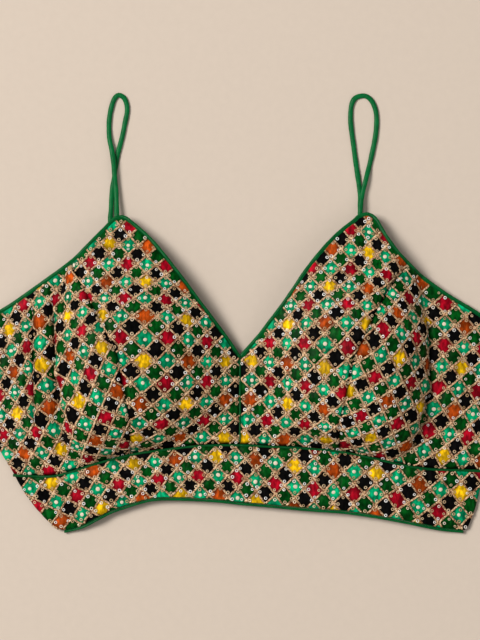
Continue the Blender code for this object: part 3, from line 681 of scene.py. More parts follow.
# Free edges of the front, for the plain green strip inside the binding
EDGE_SPANS = 160
HEM_SPANS = 360
PORTIONS = 12
FREE_EDGES = np.vstack([
    *(resample(cloth_edge(rows, side), EDGE_SPANS) for rows in (NECK, PEAK, ARMHOLE) for side in SIDES),
    resample(offset(HEM_CURVE, EDGE_INSET), HEM_SPANS),
])


def edge_distance(net):
    """Distance of each plan point from the front's nearest free edge, in portions that fit in memory."""
    portions = np.array_split(net.reshape(-1, 2), PORTIONS)
    near = [np.hypot(*(FREE_EDGES[:, None] - portion[None]).T).min(axis=1) for portion in portions]
    return np.concatenate(near).reshape(net.shape[:2])


# Meshes
def shown(name, data):
    """A new object in the scene."""
    thing = bpy.data.objects.new(name, data)
    bpy.context.scene.collection.objects.link(thing)
    return thing


def fill(rows, key, numbers, kind=np.float32):
    rows.foreach_set(key, np.asarray(numbers).astype(kind).ravel())


def mesh_piece(name, points, quads, materials, slot, uv=None, inner_from=None, **values):
    """A piece from draft points and faces of four corners, which rides on the only body."""
    mesh = bpy.data.meshes.new(name)
    mesh.vertices.add(len(points))
    placed = points - BOX_MIDDLE
    placed[:, 2] = np.maximum(placed[:, 2], 0)
    fill(mesh.vertices, "co", placed)
    mesh.loops.add(quads.size)
    fill(mesh.loops, "vertex_index", quads, np.int32)
    mesh.polygons.add(len(quads))
    fill(mesh.polygons, "loop_start", np.arange(0, quads.size, 4), np.int32)
    for material in materials:
        mesh.materials.append(material)
    if inner_from is not None:
        fill(mesh.polygons, "material_index", np.arange(len(quads)) >= inner_from, np.int32)
    mesh.update(calc_edges=True)
    if uv is not None:
        fill(mesh.uv_layers.new(name="lattice").uv, "vector", uv[quads.ravel()])
    for label, numbers in values.items():
        fill(mesh.attributes.new(label, "FLOAT", "POINT").data, "value", numbers)
    mesh.shade_smooth()
    mesh.validate()
    piece = shown(name, mesh)
    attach(piece, "root")
    return piece


def grid_quads(columns, rows):
    index = np.arange(columns * rows).reshape(columns, rows)
    corners = (index[:-1, :-1], index[1:, :-1], index[1:, 1:], index[:-1, 1:])
    return np.stack(corners, axis=-1).reshape(-1, 4)


def rim_loop(columns, rows):
    index = np.arange(columns * rows).reshape(columns, rows)
    return np.concatenate([index[:-1, 0], index[-1, :-1], index[:0:-1, -1], index[0, :0:-1]])


def plan_cross(a, b):
    return a[:, 0] * b[:, 1] - a[:, 1] * b[:, 0]


class Cloth:
    """A panel's outer face, and where spots of its lattice lie on it."""

    def __init__(self, name, points, normals, lattice, trim, seam, room):
        self.name, self.points, self.normals = name, points, normals
        self.lattice, self.trim, self.seam, self.room = lattice, trim, seam, room
        turn = np.cross(np.gradient(points, axis=0), np.gradient(points, axis=1))
        self.turned = (turn * normals).sum() < 0
        quads = grid_quads(*points.shape[:2])
        self.triangles = np.vstack([quads[:, [0, 1, 2]], quads[:, [0, 2, 3]]])
        places = np.column_stack([lattice.reshape(-1, 2), np.zeros(lattice.size // 2)])
        self.tree = BVHTree.FromPolygons(places.tolist(), self.triangles.tolist())

    def place(self, spots):
        """Points, normals and room beside them at the spots, and which of the spots are on the cloth."""
        down = Vector((0, 0, -1))
        found = [self.tree.ray_cast(Vector((p, q, 1)), down)[2] for p, q in spots]
        hit = np.array([-1 if index is None else index for index in found])
        corners = self.triangles[np.maximum(hit, 0)]
        a, b, c = np.moveaxis(self.lattice.reshape(-1, 2)[corners], 1, 0)
        ab, ac, to = b - a, c - a, spots - a
        share_b = plan_cross(to, ac) / plan_cross(ab, ac)
        share_c = plan_cross(ab, to) / plan_cross(ab, ac)
        shares = np.stack([1 - share_b - share_c, share_b, share_c], axis=1)[..., None]
        points = (self.points.reshape(-1, 3)[corners] * shares).sum(axis=1)
        normals = unit((self.normals.reshape(-1, 3)[corners] * shares).sum(axis=1))
        room = (self.room.reshape(-1)[corners] * shares[..., 0]).sum(axis=1)
        return points, normals, room, hit >= 0

    def span(self):
        """Whole cells that the panel reaches over, as (first, last) in each direction."""
        low = np.floor(self.lattice.min(axis=(0, 1))).astype(int)
        high = np.ceil(self.lattice.max(axis=(0, 1))).astype(int)
        return low, high

    def shell(self, thickness, materials, slot):
        """The panel as a thin shell: the outer face, its rim, and the inner face in the lining."""
        columns, rows = self.points.shape[:2]
        count = columns * rows
        outer = self.points.reshape(-1, 3)
        inner = outer - self.normals.reshape(-1, 3) * np.reshape(thickness, (-1, 1))
        quads = grid_quads(columns, rows)
        loop = rim_loop(columns, rows)
        after = np.roll(loop, -1)
        rim = np.stack([after, loop, loop + count, after + count], axis=1)
        faces = np.vstack([quads, rim, quads[:, ::-1] + count])
        if self.turned:
            faces = faces[:, ::-1]
        piece = mesh_piece(
            "cloth_" + self.name, np.vstack([outer, inner]), faces, materials, slot,
            uv=np.tile(self.lattice.reshape(-1, 2), (2, 1)), inner_from=len(quads) + len(rim),
            trim=np.tile(self.trim.ravel(), 2), seam=np.tile(self.seam.ravel(), 2),
        )
        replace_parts(piece, self.name)
        return piece


def tube_mesh(centres, normals, radius, sides, squash=1.0, closed=False):
    """Rings round a line of points, and the faces between them. An open run of even sides gets ends."""
    if closed:
        along = unit(np.roll(centres, -1, axis=0) - np.roll(centres, 1, axis=0))
    else:
        along = unit(np.gradient(centres, axis=0))
    across = unit(np.cross(along, normals))
    up = np.cross(across, along)
    turn = 2 * np.pi * (np.arange(sides) + 0.5) / sides
    ring = (across[:, None] * np.cos(turn)[None, :, None]
            + up[:, None] * np.sin(turn)[None, :, None] * squash)
    points = centres[:, None] + ring * np.reshape(radius, (-1, 1, 1))
    index = np.arange(len(centres) * sides).reshape(-1, sides)
    here, after = (index, np.roll(index, -1, axis=0)) if closed else (index[:-1], index[1:])
    quads = np.stack([here, after, np.roll(after, -1, axis=1), np.roll(here, -1, axis=1)], axis=-1)
    quads = quads.reshape(-1, 4)
    if not closed and sides % 2 == 0:
        quads = np.vstack([quads, cap(index[0]), cap(index[-1][::-1])])
    return points.reshape(-1, 3), quads


def cap(ring):
    """Faces of four corners that close a ring of an even number of points."""
    count = len(ring)
    return [(ring[0], ring[k + 1], ring[k + 2], ring[(k + 3) % count]) for k in range(0, count - 2, 2)]


def joined(parts):
    """One set of points and faces from many."""
    starts = np.cumsum([0] + [len(points) for points, _ in parts])
    return np.vstack([points for points, _ in parts]), np.vstack([
        faces + start for (_, faces), start in zip(parts, starts)
    ])


def shown_top(x, y):
    """Height of the front's outer face as it is shown, with its creases and its curled sides."""
    return front_height(x, y) - on_each_side(side_roll, x, y)


# Finishes
def finish(name, roughness, **values):
    """A material with its shader's plain values set."""
    material = bpy.data.materials.new(name)
    material.use_nodes = True
    body = material.node_tree.nodes["Principled BSDF"]
    body.inputs["Roughness"].default_value = roughness
    for label, value in values.items():
        body.inputs[label.replace("_", " ").title().replace("Ior", "IOR")].default_value = value
    return material


class Graph:
    """Short calls that add nodes to a material."""

    def __init__(self, material):
        self.nodes, self.links = material.node_tree.nodes, material.node_tree.links
        self.body = self.nodes["Principled BSDF"]

    def put(self, socket, value):
        if isinstance(value, bpy.types.NodeSocket):
            self.links.new(value, socket)
        else:
            socket.default_value = value

    def math(self, operation, *values):
        node = self.nodes.new("ShaderNodeMath")
        node.operation = operation
        for socket, value in zip(node.inputs, values):
            self.put(socket, value)
        return node.outputs[0]

    def lattice(self):
        node = self.nodes.new("ShaderNodeUVMap")
        node.uv_map = "lattice"
        split = self.nodes.new("ShaderNodeSeparateXYZ")
        self.links.new(node.outputs[0], split.inputs[0])
        return split.outputs[0], split.outputs[1]

    def attribute(self, name):
        node = self.nodes.new("ShaderNodeAttribute")
        node.attribute_name = name
        return node.outputs["Fac"]

    def stretched(self, scale):
        """Object coordinates in metres, times a scale for each axis."""
        coordinates = self.nodes.new("ShaderNodeTexCoord")
        mapping = self.nodes.new("ShaderNodeMapping")
        mapping.inputs["Scale"].default_value = scale
        self.links.new(coordinates.outputs["Object"], mapping.inputs["Vector"])
        return mapping.outputs[0]

    def noise(self, scale, detail=2.0, place=None):
        node = self.nodes.new("ShaderNodeTexNoise")
        node.inputs["Scale"].default_value = 1.0
        node.inputs["Detail"].default_value = detail
        scale = scale if isinstance(scale, tuple) else (scale, scale, scale)
        self.links.new(place or self.stretched(scale), node.inputs["Vector"])
        return node.outputs["Fac"]

    def ramp(self, factor, stops, interpolation="LINEAR"):
        node = self.nodes.new("ShaderNodeValToRGB")
        node.color_ramp.interpolation = interpolation
        elements = node.color_ramp.elements
        while len(elements) < len(stops):
            elements.new(1.0)
        for element, (position, colour) in zip(elements, stops):
            element.position = position
            element.color = (*colour, 1)
        self.put(node.inputs["Fac"], factor)
        return node.outputs["Color"]

    def mix(self, factor, first, second, blend="MIX"):
        node = self.nodes.new("ShaderNodeMix")
        node.data_type = "RGBA"
        node.blend_type = blend
        for index, value in ((0, factor), (6, first), (7, second)):
            self.put(node.inputs[index], (*value, 1) if isinstance(value, tuple) else value)
        return node.outputs[2]

    def span(self, factor, low, high):
        """The factor, from 0 to 1, spread from low to high."""
        return self.math("MULTIPLY_ADD", factor, high - low, low)

    def bump(self, *layers):
        """Height layers, each with the depth in metres that its values from 0 to 1 stand for."""
        before = None
        for height, depth in layers:
            node = self.nodes.new("ShaderNodeBump")
            node.inputs["Strength"].default_value = 1.0
            node.inputs["Distance"].default_value = depth
            self.put(node.inputs["Height"], height)
            if before:
                self.links.new(before, node.inputs["Normal"])
            before = node.outputs[0]
        self.links.new(before, self.body.inputs["Normal"])

    def colour(self, value):
        self.put(self.body.inputs["Base Color"], value)


# Colours of the satin, by the lattice's own repeat: four cells each way
BLACK = (0.0022, 0.0020, 0.0020)
ORANGE = (0.35, 0.050, 0.004)
RED = (0.27, 0.002, 0.010)
YELLOW = (0.62, 0.36, 0.004)
GREEN = (0.0003, 0.050, 0.0045)
EMERALD = (0.0005, 0.245, 0.098)
# The braid threads' deep colour under the braid, darkened to stand as painted shadow there
DEEP_THREAD_AND_SHADOW = (0.15, 0.062, 0.028)
PIPING_GREEN = (0.0006, 0.092, 0.020)
CHART = (
    (BLACK, ORANGE, BLACK, RED),
    (EMERALD, GREEN, EMERALD, GREEN),
    (BLACK, RED, BLACK, YELLOW),
    (EMERALD, GREEN, EMERALD, GREEN),
)
REPEAT = len(CHART)
CHART_CELLS = [(row, column) for row in range(REPEAT) for column in range(REPEAT)]
DOTTED_CELLS = [(row, column) for row, column in CHART_CELLS if CHART[row][column] == EMERALD]
TRIM_WIDTH = 0.0008
BASE_WIDTH = 0.060
SHADE_WIDTH = 0.18
SHADE_LOW = 0.28
SATIN_ROUGHNESS = 0.36
BLACK_ROUGHNESS = 0.80
CELL_TINTS = (0.75, 1.25)
SATIN_FOLDS = (330.0, 150.0, 240.0)
# Painted sheen and shade along the satin's folds: how far the colour is darkened and lightened
SATIN_SHEEN_AND_SHADE = ((0.34, (0.45,) * 3), (0.50, (0.92,) * 3), (0.66, (1.70,) * 3))
FOLD_DEPTH = 0.0008
PUCKERS = (520.0, 380.0, 450.0)
PUCKER_DEPTH = 0.0003
WEAVE = 3500.0
WEAVE_DEPTH = 0.00003
UNEVEN = (0.6, 1.4)
# Painted shade along the seams: the share of colour left at a seam, and how far the shade reaches
SEAM_SHADE = 0.05
SEAM_SHADE_WIDTH = 0.0032
SHADE_RISE = (1.08 - SHADE_LOW) / SHADE_WIDTH


def satin_cloth(name, trim_and_seam_shade):
    """Satin in the chart's colours, and when asked, a green strip at the free edges and painted shade
    along the seams.
    """
    material = finish(name, SATIN_ROUGHNESS, specular_ior_level=0.03)
    graph = Graph(material)
    p, q = graph.lattice()
    cells = [graph.math("FLOOR", value) for value in (p, q)]
    turns = [graph.math("FLOORED_MODULO", value, REPEAT) for value in cells]
    stop = graph.math("MULTIPLY_ADD", turns[0], REPEAT, turns[1])
    stop = graph.math("DIVIDE", graph.math("ADD", stop, 0.5), REPEAT ** 2)
    stops = [((REPEAT * row + column) / REPEAT ** 2, CHART[row][column]) for row, column in CHART_CELLS]
    colour = graph.ramp(stop, stops, "CONSTANT")
    matt = [(at, (BLACK_ROUGHNESS if cell == BLACK else SATIN_ROUGHNESS,) * 3) for at, cell in stops]
    graph.put(graph.body.inputs["Roughness"], graph.ramp(stop, matt, "CONSTANT"))

    # Each cell is a little lighter or darker than its like, and painted with sheen and shade along the
    # satin's folds
    joined_cells = graph.nodes.new("ShaderNodeCombineXYZ")
    for socket, value in zip(joined_cells.inputs, cells):
        graph.links.new(value, socket)
    grain = graph.nodes.new("ShaderNodeTexWhiteNoise")
    graph.links.new(joined_cells.outputs[0], grain.inputs["Vector"])
    own = graph.span(grain.outputs["Value"], *CELL_TINTS)
    folds = graph.noise(SATIN_FOLDS, 3.0)
    painted_sheen_and_shade = graph.ramp(folds, SATIN_SHEEN_AND_SHADE)
    colour = graph.mix(1.0, colour, graph.math("MULTIPLY", own, painted_sheen_and_shade), "MULTIPLY")

    # Painted shade beside the lattice's lines, darkest at them; under the braid, a deep thread colour
    # darkened as painted shadow
    near = graph.math("MINIMUM", *(
        graph.math("ABSOLUTE", graph.math("SUBTRACT", value, graph.math("ROUND", value)))
        for value in (p, q)
    ))
    within = graph.math("SMOOTH_MIN", near, SHADE_WIDTH, SHADE_WIDTH)
    shade = graph.math("MULTIPLY_ADD", within, SHADE_RISE, SHADE_LOW)
    colour = graph.mix(1.0, colour, shade, "MULTIPLY")
    edge = graph.span(graph.noise(900.0, 1.0), *(share * BASE_WIDTH for share in UNEVEN))
    colour = graph.mix(graph.math("LESS_THAN", near, edge), colour, DEEP_THREAD_AND_SHADOW)
    if trim_and_seam_shade:
        # Painted shade along the seams, darkest at them
        in_seam = graph.math("DIVIDE", graph.attribute("seam"), SEAM_SHADE_WIDTH)
        dark = graph.math("MINIMUM", graph.span(in_seam, SEAM_SHADE, 1), 1.0)
        colour = graph.mix(1.0, colour, dark, "MULTIPLY")
        width = graph.span(graph.noise(260.0), *(share * TRIM_WIDTH for share in UNEVEN))
        colour = graph.mix(graph.math("LESS_THAN", graph.attribute("trim"), width), colour, PIPING_GREEN)
    graph.colour(colour)
    puckers, weave = graph.noise(PUCKERS, 2.0), graph.noise(WEAVE, 1.0)
    graph.bump((folds, FOLD_DEPTH), (puckers, PUCKER_DEPTH), (weave, WEAVE_DEPTH))
    return material


CLOTH_FOLDS = (420.0, 300.0, 360.0)
CLOTH_WEAVE = 2600.0
CLOTH_WEAVE_DEPTH = 0.00004


def plain_cloth(name, colour, roughness, spread=0.35, fold_depth=0.0004, specular=0.25, **values):
    """One colour of cloth, thread or bead, mottled and with a fine relief."""
    material = finish(name, roughness, specular_ior_level=specular, **values)
    graph = Graph(material)
    mottle = graph.span(graph.noise(160.0, 3.0), 1 - spread, 1 + spread)
    graph.colour(graph.mix(1.0, colour, mottle, "MULTIPLY"))
    folds, weave = graph.noise(CLOTH_FOLDS, 2.0), graph.noise(CLOTH_WEAVE, 1.0)
    graph.bump((folds, fold_depth), (weave, CLOTH_WEAVE_DEPTH))
    return material


THREAD_COLOURS = ((0.37, (0.15, 0.060, 0.024)), (0.49, (0.56, 0.305, 0.140)), (0.61, (1.0, 0.74, 0.46)))
THREAD_TWIST_DEPTH = 0.00012
SEQUIN_COLOURS = ((0.0, (0.50, 0.32, 0.15)), (0.62, (0.85, 0.66, 0.42)), (0.80, (1.0, 0.99, 0.95)))
SEQUIN_TINTS = (0.8, 1.2)


def thread_finish():
    material = finish("braid_thread", 0.42, specular_ior_level=0.4)
    graph = Graph(material)
    graph.colour(graph.ramp(graph.noise(620.0, 2.0), THREAD_COLOURS))
    graph.bump((graph.noise(2200.0, 1.0), THREAD_TWIST_DEPTH))
    return material


def sequin_finish():
    material = finish("ring_sequin", 0.25, metallic=0.15, coat_weight=0.5, coat_roughness=0.10)
    graph = Graph(material)
    tint = graph.ramp(graph.attribute("tint"), SEQUIN_COLOURS)
    shade = graph.span(graph.noise(700.0), *SEQUIN_TINTS)
    graph.colour(graph.mix(1.0, tint, shade, "MULTIPLY"))
    return material


FRONT_SATIN = satin_cloth("satin_lattice_front", True)
BACK_SATIN = satin_cloth("satin_lattice_back", False)
LINING = plain_cloth("green_lining", (0.008, 0.055, 0.020), roughness=0.75, spread=0.2)
BINDING = plain_cloth("green_satin_piping", PIPING_GREEN, roughness=0.36,
                      spread=0.5, fold_depth=0.0003, specular=0.10)
# The seam piping is the binding's green satin made darker, as painted shade in the seams
SHADED_SEAM_PIPING = plain_cloth("green_satin_seam_piping", (0.0005, 0.066, 0.014), roughness=0.38,
                          spread=0.5, fold_depth=0.0003, specular=0.08)
STRAP = plain_cloth("green_satin_strap", (0.0006, 0.120, 0.028), roughness=0.38,
                    spread=0.5, fold_depth=0.0004, specular=0.10)
DOT = plain_cloth("cream_dot", (0.72, 0.62, 0.48), roughness=0.55, spread=0.25)
WIRE = plain_cloth("bright_wire", (0.55, 0.55, 0.56), roughness=0.28,
                   spread=0.1, fold_depth=0.0, specular=0.5, metallic=1.0)
THREADS = thread_finish()
SEQUINS = sequin_finish()

# Sewn decoration
SEED = 7
random = np.random.default_rng(SEED)
BRAID_WAVE = 0.00064
BRAID_RADIUS = 0.00034
BRAID_SHARES = (1.15, 0.95)
BRAID_OVER = (0.3, 0.0)
BRAID_WEAVE = 0.3
BRAID_LOOSE = 0.3
BRAID_END = 0.05
KNOT_REACH = 0.150
KNOT_STEPS = 20
KNOT_LIFT = 0.0005
KNOT_WAIST = 0.55
Braid = namedtuple("Braid", "strands step pitch lift")
FRONT_BRAID = Braid(2, 0.033, 0.0020, 0.00040)
BACK_BRAID = Braid(1, 0.050, 0.0032, 0.00032)
SEQUIN_RADIUS = 0.00152
SEQUIN_INSET = 0.20
SEQUIN_SIZES = (0.80, 1.08)
SEQUIN_HEIGHT = 1.6
SEQUIN_CLEAR = 0.4
SEQUIN_STRAY = 0.045
SEQUIN_TILT = 0.16
FLAT_LIFT = 0.0003
DOT_RADIUS = 0.00165
DOT_SIZES = (0.86, 1.12)
DOT_HEIGHT = 1.8
DOT_CLEAR = 0.6
DOT_STRAY = 0.03
DOT_SEGMENTS = 14
RING_PROFILE = ((1.0, 0.05), (0.75, 0.42), (0.46, 0.12), (1.0, 0.05))
DOME_PROFILE = ((1.0, -0.1), (0.88, 0.22), (0.45, 0.36))
EDGE_ROOM = 0.0009


def runs(keep):
    """Slices of the stretches where keep holds, of three points and more."""
    turns = np.flatnonzero(np.diff(np.concatenate([[0], keep.astype(int), [0]])))
    return [slice(a, b) for a, b in zip(turns[::2], turns[1::2]) if b - a > 2]


def lattice_lines(cloth, step):
    """Runs of points and normals along the lines of the lattice that lie on the cloth."""
    low, high = cloth.span()
    for axis in (0, 1):
        along = np.arange(low[1 - axis], high[1 - axis] + step, step)
        for line in range(low[axis], high[axis] + 1):
            spots = np.stack([np.full_like(along, line), along], axis=1)
            spots = spots if axis == 0 else spots[:, ::-1]
            points, normals, room, on = cloth.place(spots)
            for run in runs(on & (room > EDGE_ROOM)):
                yield axis, points[run], normals[run]


def braid_parts(cloth, braid):
    for axis, points, normals in lattice_lines(cloth, braid.step):
        run = np.concatenate([[0], np.cumsum(np.linalg.norm(np.diff(points, axis=0), axis=1))])
        across = unit(np.cross(normals, np.gradient(points, axis=0)))
        phase = 2 * np.pi * run / braid.pitch + random.uniform(0, 2 * np.pi)
        radius = np.full(len(run), BRAID_RADIUS * BRAID_SHARES[axis])
        radius[[0, -1]] *= BRAID_END
        for strand in range(braid.strands):
            loose = BRAID_LOOSE * random.standard_normal(len(run))
            wave = BRAID_WAVE * np.sin(phase + np.pi * strand + loose)
            rise = braid.lift * (1 + BRAID_WEAVE * np.cos(phase + np.pi * strand) + BRAID_OVER[axis])
            centres = points + across * wave[:, None] + normals * rise[:, None]
            yield tube_mesh(centres, normals, radius, 3, braid.lift / BRAID_RADIUS)


def knot_parts(cloth):
    """A small four-looped knot over each crossing."""
    low, high = cloth.span()
    turn = 2 * np.pi * np.arange(KNOT_STEPS) / KNOT_STEPS
    reach = KNOT_REACH * (KNOT_WAIST + (1 - KNOT_WAIST) * np.abs(np.sin(2 * turn)))
    loop = np.stack([reach * np.cos(turn), reach * np.sin(turn)], axis=1)
    for p in range(low[0], high[0] + 1):
        for q in range(low[1], high[1] + 1):
            points, normals, room, on = cloth.place(loop + (p, q))
            if on.all() and room.min() > EDGE_ROOM:
                yield tube_mesh(points + normals * KNOT_LIFT, normals, BRAID_RADIUS, 3, closed=True)


def turned_form(profile, segments):
    """Local points, faces and last ring of a small form turned from (radius, height) pairs."""
    turn = 2 * np.pi * np.arange(segments) / segments
    r, h = np.array(profile).T
    points = [r[:, None] * np.cos(turn), r[:, None] * np.sin(turn), h[:, None] + 0 * turn]
    index = np.arange(len(r) * segments).reshape(len(r), segments)
    here, after = index[:-1], index[1:]
    quads = np.stack([here, np.roll(here, -1, axis=1), np.roll(after, -1, axis=1), after], axis=-1)
    return np.stack(points, axis=-1).reshape(-1, 3), quads.reshape(-1, 4), index[-1]


def scattered(form, places, normals, sizes, tilt):
    """Copies of a small form at the places, each turned and tilted a little at random."""
    local, faces = form
    count = len(places)
    upright = unit(normals + tilt * random.standard_normal((count, 3)))
    first = unit(np.cross(upright, unit(random.standard_normal((count, 3)))))
    second = np.cross(upright, first)
    scaled = local[None] * sizes[:, None]
    points = (places[:, None] + scaled[..., :1] * first[:, None] + scaled[..., 1:2] * second[:, None]
              + scaled[..., 2:] * upright[:, None])
    faces = faces[None] + (np.arange(count) * len(local))[:, None, None]
    return points.reshape(-1, 3), faces.reshape(-1, 4)


def ring_form(segments):
    """A bead with a hole, whose profile ends on the ring that it starts with."""
    points, faces, last = turned_form(RING_PROFILE, segments)
    return points[:last[0]], np.where(faces >= last[0], faces - last[0], faces)


def dome_form(segments):
    points, faces, last = turned_form(DOME_PROFILE, segments)
    return points, np.vstack([faces, cap(last)])


def cell_spots(cloth, offsets, wanted=CHART_CELLS):
    """Spots at the offsets in each of the cloth's cells that the chart wants."""
    low, high = cloth.span()
    return np.array([
        (p + a, q + b)
        for p in range(low[0] - 1, high[0] + 1) for q in range(low[1] - 1, high[1] + 1)
        if (p % REPEAT, q % REPEAT) in wanted for a, b in offsets
    ])


def sequin_piece(cloth, segments, lift):
    near, far = SEQUIN_INSET, 1 - SEQUIN_INSET
    spots = cell_spots(cloth, ((near, near), (near, far), (far, near), (far, far)))
    spots = spots + SEQUIN_STRAY * random.standard_normal(spots.shape)
    points, normals, room, on = cloth.place(spots)
    keep = on & (room > EDGE_ROOM + SEQUIN_CLEAR * SEQUIN_RADIUS)
    count = keep.sum()
    sizes = np.repeat(SEQUIN_RADIUS * random.uniform(*SEQUIN_SIZES, (count, 1)), 3, axis=1)
    sizes[:, 2] = min(SEQUIN_RADIUS, lift * SEQUIN_HEIGHT)
    tilt = SEQUIN_TILT if lift > FLAT_LIFT else 0.0
    places = points[keep] + normals[keep] * lift
    points, faces = scattered(ring_form(segments), places, normals[keep], sizes, tilt)
    tints = np.repeat(random.uniform(0, 1, count), 3 * segments)
    return mesh_piece("sequins_" + cloth.name, points, faces, [SEQUINS], "sequin", tint=tints)


def dot_piece(cloth, lift):
    spots = cell_spots(cloth, ((0.5, 0.5),), DOTTED_CELLS)
    points, normals, room, on = cloth.place(spots + DOT_STRAY * random.standard_normal(spots.shape))
    keep = on & (room > EDGE_ROOM + DOT_CLEAR * DOT_RADIUS)
    sizes = DOT_RADIUS * random.uniform(*DOT_SIZES, (keep.sum(), 3))
    sizes[:, 2] = min(DOT_RADIUS, lift * DOT_HEIGHT)
    points, faces = scattered(dome_form(DOT_SEGMENTS), points[keep], normals[keep], sizes, 0.0)
    return mesh_piece("dots_" + cloth.name, points, faces, [DOT], "dot")


def braid_piece(cloth, braid, knots):
    parts = list(braid_parts(cloth, braid)) + (list(knot_parts(cloth)) if knots else [])
    return mesh_piece("braid_" + cloth.name, *joined(parts), [THREADS], "braid")


def net_area(points):
    turned = np.cross(points[1:, 1:] - points[:-1, :-1], points[:-1, 1:] - points[1:, :-1])
    return float(np.linalg.norm(turned, axis=-1).sum() / 2)


def flat_cut(flat):
    """Width, length and area of a flattened panel."""
    width, length = np.ptp(flat.reshape(-1, 2), axis=0)
    area = net_area(np.dstack([flat, 0 * flat[..., 0]]))
    return (round(float(width), 4), round(float(length), 4)), round(area, 5)


# The front's five panels
EDGE_THINNING = 0.0012
FRONT_SEQUIN_LIFT = 0.0005
FRONT_DOT_LIFT = 0.0004


def dress_front():
    for name, (net, fine) in front_nets().items():
        x, y = net[..., 0], net[..., 1]
        points, normals = shown_points(x, y), shown_normals(x, y)
        smooth = np.dstack([net, front_top(x, y)])
        flat = flatten(smooth, fine)
        taken_up = net_area(points) / net_area(smooth)
        lattice = marked_lattice(name, points[..., :2], flat)
        points += normals * cell_puff(lattice)[..., None]
        trim = edge_distance(net)
        beside_piping = np.abs(y - seam_y(x)) - BAND_PIPING_SHIFT if name == "front_band" else np.abs(x)
        room = np.minimum.reduce([trim, beside_piping, on_each_side(side_distance, x, y) + EDGE_ROOM])
        cloth = Cloth(name, points, normals, lattice, trim, on_each_side(seam_distance, x, y), room)
        thinning = on_each_side(side_roll, x, y) / ROLL_DROP
        thickness = FRONT_THICKNESS - EDGE_THINNING * thinning
        piece = cloth.shell(thickness, [FRONT_SATIN, LINING], "front_cloth")
        sewn = [braid_piece(cloth, FRONT_BRAID, True), sequin_piece(cloth, 8, FRONT_SEQUIN_LIFT),
                dot_piece(cloth, FRONT_DOT_LIFT)]


# The back lies face down: its lining is uppermost and its decoration is under it
BACK_FACE = 0.0008
BACK_LIFT = 0.00025


def back_columns(side, curve, outer_x):
    """Points of a curve at the columns of one half of the back, from its side to its lapped edge."""
    lap_edge = -side * LAP_HALF
    if side == LEFT:
        xs = np.concatenate([
            np.linspace(outer_x, -LAP_STEP_START, BACK_COLUMNS * BACK_FINE + 1),
            np.linspace(-LAP_STEP_START, -LAP_STEP_END, LAP_STEP_COLUMNS * BACK_FINE + 1)[1:],
            np.linspace(-LAP_STEP_END, lap_edge, LAP_COLUMNS * BACK_FINE + 1)[1:],
        ])
    else:
        xs = np.linspace(outer_x, lap_edge, (BACK_COLUMNS + LAP_COLUMNS) * BACK_FINE + 1)
    return np.stack([xs, np.interp(xs, *curve.T)], axis=1)


BACK_TOP_CURVE = catmull_rom([(-p.out, p.y) for p in BACK_TOP[:0:-1]] + [(p.out, p.y) for p in BACK_TOP])
BACK_HEM_CURVE = offset(HEM_CURVE, BACK_HEM_RAISE + BACK_PIPING_RADIUS + BACK_PIPING_ROOM)


def back_lines(side):
    """The lines along the low edge, the seam and the top of one half of the back."""
    ends = (
        (BACK_HEM_CURVE, BACK_HEM_CURVE[0 if side == LEFT else -1][0]),
        (SEAM_CURVE, BAND_SEAM[0 if side == LEFT else -1].x),
        (BACK_TOP_CURVE, side * (BACK_TOP[-1].out + BACK_SIDE_INSET)),
    )
    return [back_columns(side, curve, x - side * BACK_SIDE_INSET) for curve, x in ends]


def back_net(side, bottom, top, rows, insets):
    outer = resample(side_line(side, bottom[0][1], top[0][1], BACK_SIDE_INSET), rows * BACK_FINE)
    outer[0], outer[-1] = bottom[0], top[0]
    inner = resample(np.array([bottom[-1], top[-1]]), rows * BACK_FINE)
    return drawn_in(coons(bottom, top, outer, inner), insets)


def back_level(side, x):
    return lap_lift(x) if side == LEFT else 0 * x


def dress_back():
    for side, label in SIDES.items():
        low, seam, top = back_lines(side)
        nets = {
            "back_" + label: back_net(side, seam, top, BACK_ROWS, (BACK_PIPING_ROOM, 0, 0, 0)),
            "back_band_" + label: back_net(side, low, seam, BACK_BAND_ROWS, (0, BACK_PIPING_ROOM, 0, 0)),
        }
        for name, net in nets.items():
            level = back_level(side, net[..., 0])
            points = np.dstack([net, BACK_FACE + level])
            downward = np.broadcast_to((0.0, 0.0, -1.0), points.shape)
            far = np.ones(net.shape[:2])
            room = side_distance(*np.moveaxis(net, -1, 0), side) + EDGE_ROOM - BACK_SIDE_INSET
            cloth = Cloth(name, points, downward, plain_lattice(net), far, far, room)
            piece = cloth.shell(BACK_THICKNESS - BACK_FACE, [BACK_SATIN, LINING], "back_cloth")
            sewn = [braid_piece(cloth, BACK_BRAID, False), sequin_piece(cloth, 6, BACK_LIFT),
                    dot_piece(cloth, BACK_LIFT)]
            size, area = flat_cut(net)


# Piping, straps and hooks
TUBE_SIDES = 10
RUCHING = 0.05
RUCHING_LIMIT = 0.1
OWN_WORDS = (("strap", "rouleau"), ("bind", "edge_bind"), ("piping", "cord_piping"))
SEAM_PIPING_RADIUS = 0.00115
SEAM_PIPING_RISE = 0.0008
BINDING_HALF_WIDTH = 0.0016
BINDING_SQUASH = 0.8
BINDING_INSET = 0.0014
EVENED = 7
NECK_SPANS = 128
PEAK_SPANS = 60
ARM_SPANS = 120
LONG_SPANS = 312
UPRIGHT_POINTS = 61
STRAP_SPANS = 240
STRAP_SIDES = 12
BOUND_EDGES = ((NECK, NECK_SPANS), (PEAK, PEAK_SPANS), (ARMHOLE, ARM_SPANS))


